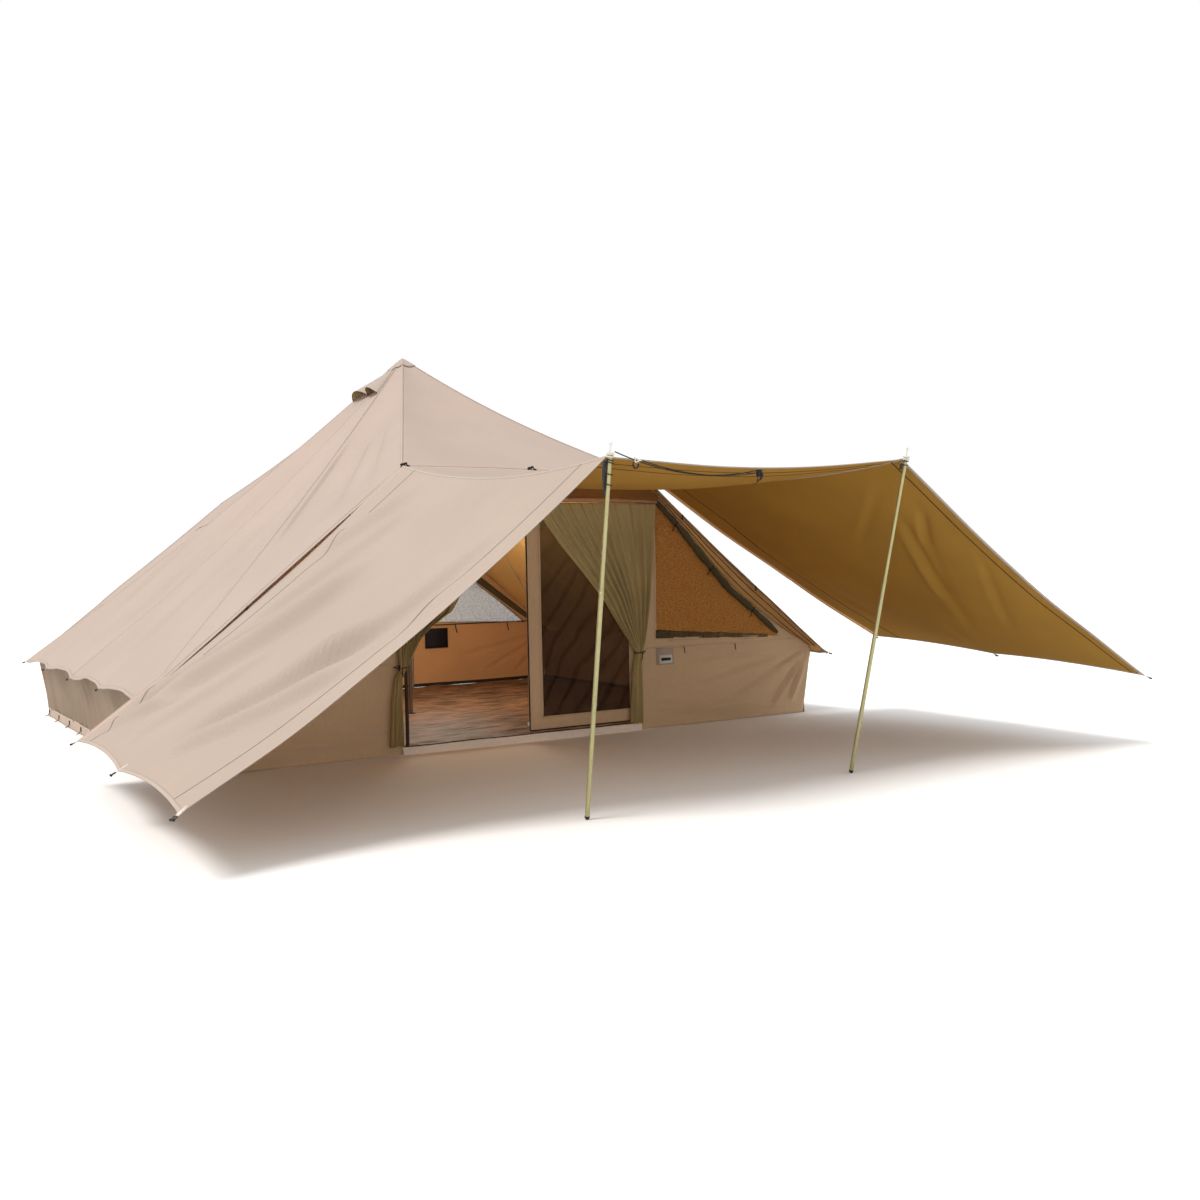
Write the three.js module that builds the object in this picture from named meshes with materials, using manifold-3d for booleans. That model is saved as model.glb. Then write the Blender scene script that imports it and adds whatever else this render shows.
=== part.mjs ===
// Bell tent with a portal front, a clip-on sun canopy and two telescopic canopy poles.
// Millimetres, +Z up. The origin is on the ground under the centre pole, the door faces -Y
// and +X is to the right of somebody who looks at the door.
import * as THREE from 'three';
import { mergeVertices } from 'three/addons/utils/BufferGeometryUtils.js';
import Module from 'manifold-3d';

const wasm = await Module();
wasm.setup();

// ---------------------------------------------------------------- driving dimensions
const GAP = 0.3;                    // clearance between pieces that touch
const HALF_WIDTH = 2750;            // centre pole to the foot of a side wall
const HALF_DEPTH = 2320;            // centre pole to the front or back face
const WALL_TOP_X = 2850;            // the side walls lean out to here
const WALL_TOP_Z = 578;
const EAVE_X = 2940;                // lower edge of the roof
const EAVE_Z = 510;
const PORTAL_OVERHANG = 30;         // roof past the front and back faces at the portals
const EAVE_OVERHANG = 130;          // and at the eave corners
const APEX_Z = 3290;
const PORTAL_HALF = 1050;           // half width of the portal at its top corners
const PORTAL_Z = 2065;              // roof height over the portal
const CLOTH = 4;                    // thickness of a plain cloth panel
const SEAM = 4;                     // what each roof panel stands back from a seam
const UNDER_ROOF = 16;              // drop from the roof to the top of a front panel
const DOOR_HALF = 1000;             // half width of the doorway
const DOOR_TOP = 1840;
const GROUNDSHEET = { halfX: 2720, halfY: 2290, thick: 3 };
const FLOOR = GROUNDSHEET.thick + GAP;

const CENTRE_POLE = { outer: 19, inner: 17, top: 3235, joint: 1600 };
const FRAME_POLE = { outer: 13, inner: 11.5, x: 1030, y: 2290, bend: 60, barZ: 2050 };

const LEAF = { left: -30, right: 975, low: 75, high: 1825, y: -2309, thick: 5 };
const LEAF_BORDER = { left: 120, right: 60, low: 100, high: 60 };

const CANOPY_BACK = { y: -2290, z: 2120 };
const CANOPY_CLOTH = 5;
const SEAM_SAG = 100;               // drop of the two seams between a corner and its pole, midway
const POLE_FOOT = { left: [-1215, -5055], right: [850, -4885] };
const POLE_TOP = { left: [-1300, -5480, 1885], right: [930, -5310, 1950] };
const CANOPY_POLE = { outer: 12.5, bore: 11.2, innerTube: 11, innerBore: 9.6, foot: 14 };
const POLE_OVERLAP = 480;           // the upper tube starts this far up the pole
const POLE_RING = 1240;             // the lower tube ends this far up the pole
const BUTTON = { at: 625, radius: 3, stand: 3, inner: 9.2 };
const HOLE_PITCH = 55;
const POLE_TRAVEL = 300;
const GUY_ROPE = { radius: 3, outerSag: 62, innerSag: 40 };

// ---------------------------------------------------------------- materials
function material(color, roughness, metalness) {
  return () => new THREE.MeshStandardMaterial({ color, roughness, metalness });
}
const canvas = material(0xd0bca8, 0.9, 0);
const canvasLow = material(0xb9a389, 0.9, 0);
const netting = material(0x3c3228, 0.8, 0);
const flooring = material(0x8a6a48, 0.7, 0);
const steel = material(0xb9b59a, 0.35, 0.9);
const blackPlastic = material(0x17171a, 0.55, 0);
const rubber = material(0x1c1c1c, 0.85, 0);
const cordage = material(0x2b2620, 0.9, 0);
const zipMetal = material(0x8a8a88, 0.3, 0.9);

const tent = new THREE.Group();

// ---------------------------------------------------------------- geometry helpers

// Merges shared corners and turns the faces outwards.
function closed(source) {
  const bare = source.index ? source.toNonIndexed() : source.clone();
  bare.deleteAttribute('normal');
  bare.deleteAttribute('uv');
  const geometry = mergeVertices(bare, 1e-3);
  const index = Array.from(geometry.index.array);
  const p = geometry.attributes.position;
  const a = new THREE.Vector3();
  const b = new THREE.Vector3();
  const c = new THREE.Vector3();
  const kept = [];
  let volume = 0;
  for (let i = 0; i < index.length; i += 3) {
    const [u, v, w] = [index[i], index[i + 1], index[i + 2]];
    if (u === v || v === w || u === w) continue;
    a.fromBufferAttribute(p, u);
    b.fromBufferAttribute(p, v);
    c.fromBufferAttribute(p, w);
    volume += a.dot(b.cross(c));
    kept.push(u, v, w);
  }
  if (volume < 0) kept.reverse();
  geometry.setIndex(kept);
  geometry.computeVertexNormals();
  return geometry;
}

function toManifold(geometry) {
  const g = closed(geometry);
  return new wasm.Manifold(new wasm.Mesh({
    numProp: 3,
    vertProperties: new Float32Array(g.attributes.position.array),
    triVerts: new Uint32Array(g.index.array),
  }));
}

function fromManifold(solid) {
  const mesh = solid.getMesh();
  const geometry = new THREE.BufferGeometry();
  geometry.setAttribute('position', new THREE.BufferAttribute(mesh.vertProperties, 3));
  geometry.setIndex(new THREE.BufferAttribute(mesh.triVerts, 1));
  return geometry;
}

function cut(body, ...tools) {
  return fromManifold(tools.reduce((left, tool) => left.subtract(toManifold(tool)), toManifold(body)));
}

function add(name, geometry, paint, parent = tent) {
  const mesh = new THREE.Mesh(closed(geometry), paint());
  mesh.name = name;
  parent.add(mesh);
  return mesh;
}

function vec(x, y, z) {
  return new THREE.Vector3(x, y, z);
}

// A solid turned about Z from [radius, height] pairs that close on the axis or on themselves.
function turned(profile, sides = 20) {
  const points = profile.map(([r, z]) => new THREE.Vector2(r, z));
  return new THREE.LatheGeometry(points, sides).rotateX(Math.PI / 2);
}

function tube(outer, inner, low, high, sides = 20) {
  return turned([[inner, low], [outer, low], [outer, high], [inner, high], [inner, low]], sides);
}

function box(x0, x1, y0, y1, z0, z1) {
  const geometry = new THREE.BoxGeometry(x1 - x0, y1 - y0, z1 - z0);
  return geometry.translate((x0 + x1) / 2, (y0 + y1) / 2, (z0 + z1) / 2);
}

// Moves each side of a convex outline, given anticlockwise, in by the seam allowance.
function insetOutline(points, by) {
  const n = points.length;
  const lines = points.map((p, i) => {
    const q = points[(i + 1) % n];
    const along = q.clone().sub(p).normalize();
    return { at: p.clone().add(new THREE.Vector2(-along.y, along.x).multiplyScalar(by)), along };
  });
  return lines.map((line, i) => {
    const before = lines[(i + n - 1) % n];
    const cross = before.along.x * line.along.y - before.along.y * line.along.x;
    const d = line.at.clone().sub(before.at);
    const t = (d.x * line.along.y - d.y * line.along.x) / cross;
    return before.at.clone().addScaledVector(before.along, t);
  });
}

// A flat cloth panel: its outer face is the polygon, seen anticlockwise from outside.
function clothPanel(name, corners, paint, thick = CLOTH, inset = SEAM) {
  const origin = corners[0];
  const xAxis = corners[1].clone().sub(origin).normalize();
  const normal = xAxis.clone().cross(corners[2].clone().sub(origin)).normalize();
  const yAxis = normal.clone().cross(xAxis);
  const flat = corners.map((corner) => {
    const d = corner.clone().sub(origin);
    return new THREE.Vector2(d.dot(xAxis), d.dot(yAxis));
  });
  const outline = new THREE.Shape(insetOutline(flat, inset));
  const geometry = new THREE.ExtrudeGeometry(outline, { depth: thick, bevelEnabled: false });
  geometry.translate(0, 0, -thick);
  const mesh = add(name, geometry, paint);
  mesh.applyMatrix4(new THREE.Matrix4().makeBasis(xAxis, yAxis, normal).setPosition(origin));
}

// A plate that stands in an XZ plane, with its outline and holes given as [x, z] pairs.
function upright(outline, holes, front, thick) {
  const points = outline.map(([x, z]) => new THREE.Vector2(x, z));
  if (THREE.ShapeUtils.isClockWise(points)) points.reverse();
  const shape = new THREE.Shape(points);
  for (const hole of holes) {
    shape.holes.push(new THREE.Path(hole.map(([x, z]) => new THREE.Vector2(x, z))));
  }
  const geometry = new THREE.ExtrudeGeometry(shape, { depth: thick, bevelEnabled: false });
  return geometry.rotateX(Math.PI / 2).translate(0, front + thick, 0);
}

// A closed sheet of even thickness over a surface point(u, v), with u and v from 0 to 1.
function sheetSolid(point, across, along, thick) {
  const positions = [];
  const index = [];
  const step = 1e-3;
  const row = across + 1;
  const layer = row * (along + 1);
  for (const side of [1, 0]) {
    for (let j = 0; j <= along; j += 1) {
      for (let i = 0; i <= across; i += 1) {
        const u = i / across;
        const v = j / along;
        const p = point(u, v);
        const du = point(u + step, v).sub(point(u - step, v));
        const dv = point(u, v + step).sub(point(u, v - step));
        const up = du.cross(dv).normalize();
        if (up.z < 0) up.negate();
        p.addScaledVector(up, side ? thick : 0);
        positions.push(p.x, p.y, p.z);
      }
    }
  }
  const quad = (a, b, c, d) => index.push(a, b, c, a, c, d);
  for (let j = 0; j < along; j += 1) {
    for (let i = 0; i < across; i += 1) {
      const k = j * row + i;
      quad(k, k + 1, k + row + 1, k + row);
      quad(layer + k, layer + k + row, layer + k + row + 1, layer + k + 1);
    }
  }
  const rim = [];
  for (let i = 0; i < across; i += 1) rim.push(i);
  for (let j = 0; j < along; j += 1) rim.push(j * row + across);
  for (let i = across; i > 0; i -= 1) rim.push(along * row + i);
  for (let j = along; j > 0; j -= 1) rim.push(j * row);
  rim.forEach((k, i) => {
    const next = rim[(i + 1) % rim.length];
    quad(next, k, layer + k, layer + next);
  });
  const geometry = new THREE.BufferGeometry();
  geometry.setAttribute('position', new THREE.Float32BufferAttribute(positions, 3));
  geometry.setIndex(index);
  return geometry;
}

// A quarter turn in the XZ plane, from a door pole up and over to the crossbar.
class CornerBend extends THREE.Curve {
  constructor(centre, radius, sign) {
    super();
    Object.assign(this, { centre, radius, sign });
  }

  getPoint(t) {
    const angle = t * (Math.PI / 2);
    const { centre, radius, sign } = this;
    return vec(
      centre.x + sign * radius * Math.cos(angle), centre.y, centre.z + radius * Math.sin(angle),
    );
  }

  getTangent(t) {
    const angle = t * (Math.PI / 2);
    return vec(-this.sign * Math.sin(angle), 0, Math.cos(angle));
  }
}

// A round bar swept along a curve.
function swept(path, radius, steps, sides = 8) {
  const section = new THREE.Shape();
  for (let i = 0; i < sides; i += 1) {
    const angle = (2 * Math.PI * i) / sides;
    const [x, y] = [radius * Math.cos(angle), radius * Math.sin(angle)];
    if (i === 0) section.moveTo(x, y);
    else section.lineTo(x, y);
  }
  section.closePath();
  return new THREE.ExtrudeGeometry(section, { steps, bevelEnabled: false, extrudePath: path });
}

// ---------------------------------------------------------------- groundsheet and sill
function groundwork() {
  const { halfX, halfY, thick } = GROUNDSHEET;
  add('groundsheet', box(-halfX, halfX, -halfY, halfY, 0, thick), flooring);
  add('door_sill', box(-DOOR_HALF + 4, DOOR_HALF - 4, -2352, -HALF_DEPTH - 3, 2, 58), canvasLow);
}

// ---------------------------------------------------------------- centre pole
function centrePole() {
  const { outer, inner, top, joint } = CENTRE_POLE;
  const spigot = inner - GAP;
  const lowEnd = FLOOR + 6;
  add('centre_pole_foot', turned([
    [0, FLOOR], [45, FLOOR], [45, lowEnd - GAP], [spigot, lowEnd - GAP], [spigot, 60], [0, 60],
  ], 24), blackPlastic);
  add('centre_pole_lower', tube(outer, inner, lowEnd, joint, 24), steel);
  add('centre_pole_upper', tube(outer, inner, joint + GAP, top, 24), steel);
  add('centre_pole_sleeve', tube(outer + 2.2, outer + GAP, joint - 70, joint + 70, 24), steel);
  add('centre_pole_head', turned([
    [0, top - 40], [spigot, top - 40], [spigot, top + GAP], [outer + 3, top + GAP],
    [outer + 2, top + 7], [outer - 8, top + 14], [0, top + 16],
  ], 24), blackPlastic);
}

// ---------------------------------------------------------------- portal frames
// Two door poles and a bar, joined by bent corner tubes; face is -1 for the front, 1 for the back.
function portalFrame(prefix, face) {
  const { outer, inner, x, y, bend, barZ } = FRAME_POLE;
  const poleTop = barZ - bend;
  const barEnd = x - bend;
  for (const [side, sign] of [['left', -1], ['right', 1]]) {
    const pole = add(`${prefix}_${side}_pole`, tube(outer, inner, FLOOR, poleTop - GAP, 16), steel);
    pole.position.set(sign * x, face * y, 0);
    const arc = new CornerBend(vec(sign * barEnd, face * y, poleTop), bend, sign);
    add(`${prefix}_${side}_corner`, swept(arc, outer, 10, 16), blackPlastic);
  }
  const bar = add(`${prefix}_crossbar`, tube(outer, inner, -barEnd + GAP, barEnd - GAP, 16), steel);
  bar.rotation.y = Math.PI / 2;
  bar.position.set(0, face * y, barZ);
}

// ---------------------------------------------------------------- roof
const portalY = HALF_DEPTH + PORTAL_OVERHANG;
const eaveY = HALF_DEPTH + EAVE_OVERHANG;
const apex = vec(0, 0, APEX_Z);

function roofHips() {
  return {
    frontLeft: vec(-PORTAL_HALF, -portalY, PORTAL_Z),
    frontRight: vec(PORTAL_HALF, -portalY, PORTAL_Z),
    eaveFrontRight: vec(EAVE_X, -eaveY, EAVE_Z),
    eaveBackRight: vec(EAVE_X, eaveY, EAVE_Z),
    backRight: vec(PORTAL_HALF, portalY, PORTAL_Z),
    backLeft: vec(-PORTAL_HALF, portalY, PORTAL_Z),
    eaveBackLeft: vec(-EAVE_X, eaveY, EAVE_Z),
    eaveFrontLeft: vec(-EAVE_X, -eaveY, EAVE_Z),
  };
}

// The eight cloth panels between the apex and the hips.
function roof() {
  const hips = roofHips();
  const corners = Object.values(hips);
  const names = [
    'roof_front', 'roof_front_right', 'roof_right', 'roof_back_right',
    'roof_back', 'roof_back_left', 'roof_left', 'roof_front_left',
  ];
  names.forEach((name, i) => {
    const next = corners[(i + 1) % corners.length];
    clothPanel(name, [apex, corners[i], next], canvas);
  });
  peakCap(corners);
}

// The doubled cloth cap over the peak, a shell that follows the roof's slopes.
function peakCap(corners) {
  const reach = 170;
  const levels = [{ lift: 9, at: reach }, { lift: 4, at: reach }];
  const positions = [];
  const index = [];
  const n = corners.length;
  for (const { lift, at } of levels) {
    positions.push(0, 0, APEX_Z + lift);
    for (const corner of corners) {
      const p = apex.clone().addScaledVector(corner.clone().sub(apex).normalize(), at);
      positions.push(p.x, p.y, p.z + lift);
    }
  }
  for (let i = 0; i < n; i += 1) {
    const j = (i + 1) % n;
    const [top, under] = [1 + i, n + 2 + i];
    const [topNext, underNext] = [1 + j, n + 2 + j];
    index.push(0, top, topNext);
    index.push(n + 1, underNext, under);
    index.push(top, under, underNext, top, underNext, topNext);
  }
  const geometry = new THREE.BufferGeometry();
  geometry.setAttribute('position', new THREE.Float32BufferAttribute(positions, 3));
  geometry.setIndex(index);
  add('peak_cap', geometry, canvas);
}

// A vent hood is a raised flap near the peak, open along its lower lip.
function ventHood(name, side) {
  const length = 380;
  const width = 300;
  const rise = 85;
  const wall = 4;
  const wedge = (from, to, half, height, base) => {
    const profile = new THREE.Shape([
      new THREE.Vector2(from, base), new THREE.Vector2(to, base), new THREE.Vector2(to, height),
    ]);
    const geometry = new THREE.ExtrudeGeometry(profile, { depth: 2 * half, bevelEnabled: false });
    return geometry.translate(0, 0, -half);
  };
  const inner = wedge(40, length + 40, width / 2 - wall, rise - wall - 2 + 10, -wall);
  const hood = add(name, cut(wedge(0, length, width / 2, rise, 0), inner), canvas);
  const slope = Math.atan2(APEX_Z - EAVE_Z, EAVE_X);
  const down = vec(side * Math.cos(slope), 0, -Math.sin(slope));
  const out = vec(side * Math.sin(slope), 0, Math.cos(slope));
  const start = apex.clone().addScaledVector(down, 235).addScaledVector(out, 2);
  const across = down.clone().cross(out);
  hood.applyMatrix4(new THREE.Matrix4().makeBasis(down, out, across).setPosition(start));
}

// ---------------------------------------------------------------- walls, faces and windows
// Height of a front or back panel's slanted top, just under the roof's corner panel.
function frontTop(x) {
  const hips = roofHips();
  const slope = new THREE.Plane().setFromCoplanarPoints(apex, hips.frontRight, hips.eaveFrontRight);
  const { normal, constant } = slope;
  return -(normal.x * Math.abs(x) - normal.y * HALF_DEPTH + constant) / normal.z - UNDER_ROOF;
}

function sideWalls() {
  const endY = HALF_DEPTH - 4;
  for (const [side, sign] of [['left', -1], ['right', 1]]) {
    const low = [vec(sign * HALF_WIDTH, -sign * endY, 2), vec(sign * HALF_WIDTH, sign * endY, 2)];
    const high = [
      vec(sign * WALL_TOP_X, sign * endY, WALL_TOP_Z), vec(sign * WALL_TOP_X, -sign * endY, WALL_TOP_Z),
    ];
    clothPanel(`wall_${side}`, [...low, ...high], canvasLow, CLOTH, 1);
  }
}

const WINDOW = { inX: 1165, lowZ: 735, outX: 2510, outZ: 690, topX: 1180, topZ: 1830 };

function windowOutline(sign, grow) {
  const { inX, lowZ, outX, outZ, topX, topZ } = WINDOW;
  return [
    [sign * (inX - grow), lowZ - grow],
    [sign * (outX + 2.4 * grow), outZ - grow],
    [sign * (topX - grow), topZ + 2.4 * grow],
  ];
}

function frontFace() {
  const front = -HALF_DEPTH;
  for (const [side, sign] of [['left', -1], ['right', 1]]) {
    const outline = [
      [sign * DOOR_HALF, FLOOR], [sign * (HALF_WIDTH - 6), FLOOR],
      [sign * (WALL_TOP_X - 6), WALL_TOP_Z - 10], [sign * PORTAL_HALF, frontTop(PORTAL_HALF)],
      [sign * DOOR_HALF, frontTop(PORTAL_HALF)],
    ];
    add(`front_${side}_panel`, upright(outline, [windowOutline(sign, 0)], front, CLOTH), canvasLow);
    add(`front_${side}_window`, upright(windowOutline(sign, -1.5), [], front + 1, 2), netting);
  }
  const top = frontTop(PORTAL_HALF);
  add('front_lintel', upright([
    [-DOOR_HALF + GAP, DOOR_TOP], [DOOR_HALF - GAP, DOOR_TOP], [DOOR_HALF - GAP, top], [-DOOR_HALF + GAP, top],
  ], [], front, CLOTH), canvasLow);
}

function backFace() {
  const back = HALF_DEPTH - CLOTH;
  const top = frontTop(PORTAL_HALF);
  const outline = [
    [-HALF_WIDTH + 6, FLOOR], [HALF_WIDTH - 6, FLOOR], [WALL_TOP_X - 6, WALL_TOP_Z - 10],
    [PORTAL_HALF, top], [-PORTAL_HALF, top], [-WALL_TOP_X + 6, WALL_TOP_Z - 10],
  ];
  const holes = [windowOutline(-1, 0), windowOutline(1, 0)];
  add('back_panel', upright(outline, holes, back, CLOTH), canvasLow);
  add('back_left_window', upright(windowOutline(-1, -1.5), [], back + 1, 2), netting);
  add('back_right_window', upright(windowOutline(1, -1.5), [], back + 1, 2), netting);
}

// ---------------------------------------------------------------- door
function rectangle(x0, x1, z0, z1) {
  return [[x0, z0], [x1, z0], [x1, z1], [x0, z1]];
}

function door() {
  const { left, right, low, high, y, thick } = LEAF;
  const inside = [left + LEAF_BORDER.left, right - LEAF_BORDER.right,
    low + LEAF_BORDER.low, high - LEAF_BORDER.high];
  const [x0, x1, z0, z1] = inside;
  const front = y - thick / 2;
  add('mesh_door_frame', upright(
    rectangle(left, right, low, high), [rectangle(x0, x1, z0, z1)], front, thick,
  ), canvasLow);
  add('mesh_door_net', upright(
    rectangle(x0 + GAP, x1 - GAP, z0 + GAP, z1 - GAP), [], y - 1, 2,
  ), netting);
  add('door_zip_slider', box(left - 14, left - 0.5, y - 5, y + 5, low + 45, low + 75), zipMetal);
  curtains();
}

// The outer door halves, gathered to the jambs and tied back a third of the way up.
function curtains() {
  const y = -HALF_DEPTH - 45;
  const thick = 40;
  const right = [[250, DOOR_TOP - 6], [885, 745], [900, 70], [985, 70], [995, 745], [995, DOOR_TOP - 6]];
  const left = [[-330, DOOR_TOP - 6], [-925, 640], [-900, 70], [-985, 70], [-995, 640], [-995, DOOR_TOP - 6]];
  add('curtain_right', upright(right, [], y, thick), canvasLow);
  add('curtain_left', upright(left, [], y, thick), canvasLow);
}

// ---------------------------------------------------------------- canopy
function mix(a, b, t) {
  return a.clone().lerp(b, t);
}

// A cloth between a back edge and a front edge; sag drops it by up to back and front at its middle.
// seams says how far each of its side edges takes part in the sag of the seams, from 0 to 1.
function canopySheet(name, backEdge, frontEdge, sag, seams, trim) {
  const surface = (u, v) => {
    const s = trim[0] + (trim[1] - trim[0]) * u;
    const p = mix(mix(backEdge[0], backEdge[1], s), mix(frontEdge[0], frontEdge[1], s), v);
    const belly = Math.sin(Math.PI * s);
    p.z -= belly * (sag.back + (sag.front - sag.back) * v + sag.middle * Math.sin(Math.PI * v));
    p.z -= SEAM_SAG * (seams[0] * (1 - s) + seams[1] * s) * 4 * v * (1 - v);
    return p;
  };
  add(name, sheetSolid(surface, 8, 8, CANOPY_CLOTH), canvas);
}

function canopy() {
  const inboard = 32;
  const backLeft = vec(-PORTAL_HALF, CANOPY_BACK.y, CANOPY_BACK.z);
  const backRight = vec(PORTAL_HALF, CANOPY_BACK.y, CANOPY_BACK.z);
  const frontLeft = vec(...POLE_TOP.left).add(vec(0, inboard, -8));
  const frontRight = vec(...POLE_TOP.right).add(vec(0, inboard, -8));
  const leftWing = [vec(-3260, -2260, 300), vec(-3340, -5190, 320)];
  const rightWing = [vec(3250, -2720, 668), vec(3110, -5425, 500)];
  canopySheet('canopy_centre', [backLeft, backRight], [frontLeft, frontRight],
    { back: 0, front: 45, middle: 40 }, [1, 1], [0.004, 0.996]);
  canopySheet('canopy_left_wing', [leftWing[0], backLeft], [leftWing[1], frontLeft],
    { back: 0, front: 190, middle: 20 }, [0, 1], [0, 0.996]);
  canopySheet('canopy_right_wing', [backRight, rightWing[0]], [frontRight, rightWing[1]],
    { back: 40, front: 130, middle: 40 }, [1, 0], [0.004, 1]);
}

// ---------------------------------------------------------------- canopy poles
// Each pole leans along the line from its foot to its top, and its holes face +X.
function poleFrame(side) {
  const foot = vec(...POLE_FOOT[side], CANOPY_POLE.foot + GAP);
  const top = vec(...POLE_TOP[side]);
  const axis = top.clone().sub(foot).normalize();
  const facing = vec(1, 0, 0).addScaledVector(axis, -axis.x).normalize();
  const matrix = new THREE.Matrix4().makeBasis(facing, axis.clone().cross(facing), axis);
  return { matrix: matrix.setPosition(foot), length: top.distanceTo(foot) };
}

function sidePin(radius, from, to, height) {
  const pin = new THREE.CylinderGeometry(radius, radius, to - from, 12);
  return pin.rotateZ(Math.PI / 2).translate((from + to) / 2, 0, height);
}

function canopyPole(side) {
  const { outer, bore, innerTube, innerBore, foot } = CANOPY_POLE;
  const { matrix, length } = poleFrame(side);
  const pole = new THREE.Group();
  pole.applyMatrix4(matrix);
  tent.add(pole);
  const dome = [];
  for (let i = 0; i <= 6; i += 1) {
    const angle = (i / 6) * (Math.PI / 2);
    dome.push([foot * Math.sin(angle), -foot * Math.cos(angle)]);
  }
  add(`${side}_pole_foot`, turned([
    ...dome, [foot, 6], [bore - GAP, 6], [bore - GAP, 40], [0, 40],
  ], 16), rubber, pole);

  const ring = outer + 2;
  const lower = turned([
    [bore, 6 + GAP], [outer, 6 + GAP], [outer, POLE_RING - 26], [ring, POLE_RING - 24],
    [ring, POLE_RING - 20], [outer, POLE_RING - 18], [outer, POLE_RING - 6], [ring, POLE_RING - 4],
    [ring, POLE_RING], [bore, POLE_RING], [bore, 6 + GAP],
  ]);
  const holes = [];
  for (let i = -3; i <= 3; i += 1) {
    holes.push(sidePin(BUTTON.radius + GAP, innerTube - 4, outer + 4, BUTTON.at + i * HOLE_PITCH));
  }
  add(`${side}_pole_lower_tube`, cut(lower, ...holes), steel, pole);

  const slotHalf = BUTTON.radius + 0.6;
  const slot = box(4, outer + 2, -slotHalf, slotHalf, BUTTON.at - 12, BUTTON.at + POLE_TRAVEL + 12);
  const upper = tube(innerTube, innerBore, POLE_OVERLAP, length - 2);
  add(`${side}_pole_upper_tube`, cut(upper, slot), steel, pole);
  add(`${side}_pole_button`,
    sidePin(BUTTON.radius, BUTTON.inner, outer + BUTTON.stand, BUTTON.at), zipMetal, pole);
  add(`${side}_pole_spike`, turned([
    [0, length - 40], [innerBore - GAP, length - 40], [innerBore - GAP, length - 2 + GAP],
    [innerTube, length - 2 + GAP], [innerTube, length + 4], [4, length + 8], [4, length + 46],
    [7, length + 52], [7, length + 60], [3, length + 66], [0, length + 66],
  ], 16), zipMetal, pole);
}

// ---------------------------------------------------------------- stowed guy rope
// The left pole's guy rope is looped to a clip on the canopy's front hem.
function guyRope() {
  const [px, py, pz] = POLE_TOP.left;
  const start = vec(px + 26, py - 4, pz + 14);
  const clip = vec(-330, -5432, 1832);
  const droop = (from, to, sag) => {
    const points = [];
    for (let i = 0; i <= 16; i += 1) {
      const t = i / 16;
      const p = mix(from, to, t);
      p.z -= 4 * sag * t * (1 - t);
      points.push(p);
    }
    return new THREE.CatmullRomCurve3(points);
  };
  const { radius, outerSag, innerSag } = GUY_ROPE;
  add('guy_rope_outer', swept(droop(start, clip.clone().add(vec(-14, -14, 0)), outerSag), radius, 72), cordage);
  const runner = start.clone().add(vec(130, -8, -36));
  add('guy_rope_inner',
    swept(droop(runner.clone().add(vec(26, 0, -4)), clip.clone().add(vec(-14, -24, -12)), innerSag), radius, 64),
    cordage);
  const plate = new THREE.Shape([
    new THREE.Vector2(-20, -14), new THREE.Vector2(24, 0), new THREE.Vector2(-20, 16),
  ]);
  plate.holes.push(new THREE.Path([
    new THREE.Vector2(-14, -6), new THREE.Vector2(-14, 7), new THREE.Vector2(4, 0.5),
  ]));
  const runnerPlate = new THREE.ExtrudeGeometry(plate, { depth: 4, bevelEnabled: false });
  runnerPlate.rotateX(Math.PI / 2).translate(runner.x, runner.y + 2, runner.z - 4);
  add('guy_runner', runnerPlate, zipMetal);
  add('guy_clip', box(clip.x - 11, clip.x + 11, clip.y - 30, clip.y - 6, clip.z - 34, clip.z + 4), blackPlastic);
}

groundwork();
centrePole();
portalFrame('front', -1);
portalFrame('back', 1);
roof();
ventHood('vent_hood_left', -1);
ventHood('vent_hood_right', 1);
sideWalls();
frontFace();
backFace();
door();
canopy();
canopyPole('left');
canopyPole('right');
guyRope();

export default tent;
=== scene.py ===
import math

import bpy
import numpy as np
from mathutils import Matrix, Vector
from mathutils.geometry import delaunay_2d_cdt


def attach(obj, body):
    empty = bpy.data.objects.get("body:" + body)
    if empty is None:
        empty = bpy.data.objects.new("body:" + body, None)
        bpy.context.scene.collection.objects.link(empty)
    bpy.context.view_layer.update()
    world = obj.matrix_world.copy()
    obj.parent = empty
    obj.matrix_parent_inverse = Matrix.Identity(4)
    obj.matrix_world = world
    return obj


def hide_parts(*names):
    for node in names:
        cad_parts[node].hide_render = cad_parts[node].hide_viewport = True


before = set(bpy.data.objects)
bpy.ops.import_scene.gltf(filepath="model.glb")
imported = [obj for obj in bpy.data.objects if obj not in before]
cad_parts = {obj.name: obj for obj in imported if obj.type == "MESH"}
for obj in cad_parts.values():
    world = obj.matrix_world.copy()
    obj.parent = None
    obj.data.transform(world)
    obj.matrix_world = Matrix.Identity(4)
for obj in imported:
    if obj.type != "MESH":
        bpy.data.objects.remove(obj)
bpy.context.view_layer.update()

# ---------------------------------------------------------------- sizes, in metres
HALF_WIDTH, HALF_DEPTH = 2.750, 2.320          # foot of the tent
WALL_TOP_X, WALL_TOP_Z = 2.850, 0.578
EAVE_X, EAVE_Y, EAVE_Z = 2.940, 2.450, 0.510
PEAK = np.array([0.0, 0.0, 3.290])
PORTAL_X, PORTAL_Y, PORTAL_Z = 1.050, 2.350, 2.065
DOOR_HALF, DOOR_TOP = 1.000, 1.840
CLOTH = 0.0016                                 # thickness of a cloth
WINDOW = {"in_x": 1.165, "low_z": 0.735, "out_x": 2.510, "out_z": 0.690}
LEAF = {"left": -0.030, "right": 0.975, "low": 0.075, "high": 1.825, "y": -2.309}
LEAF_BORDER = {"left": 0.120, "right": 0.060, "low": 0.100, "high": 0.060}

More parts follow.
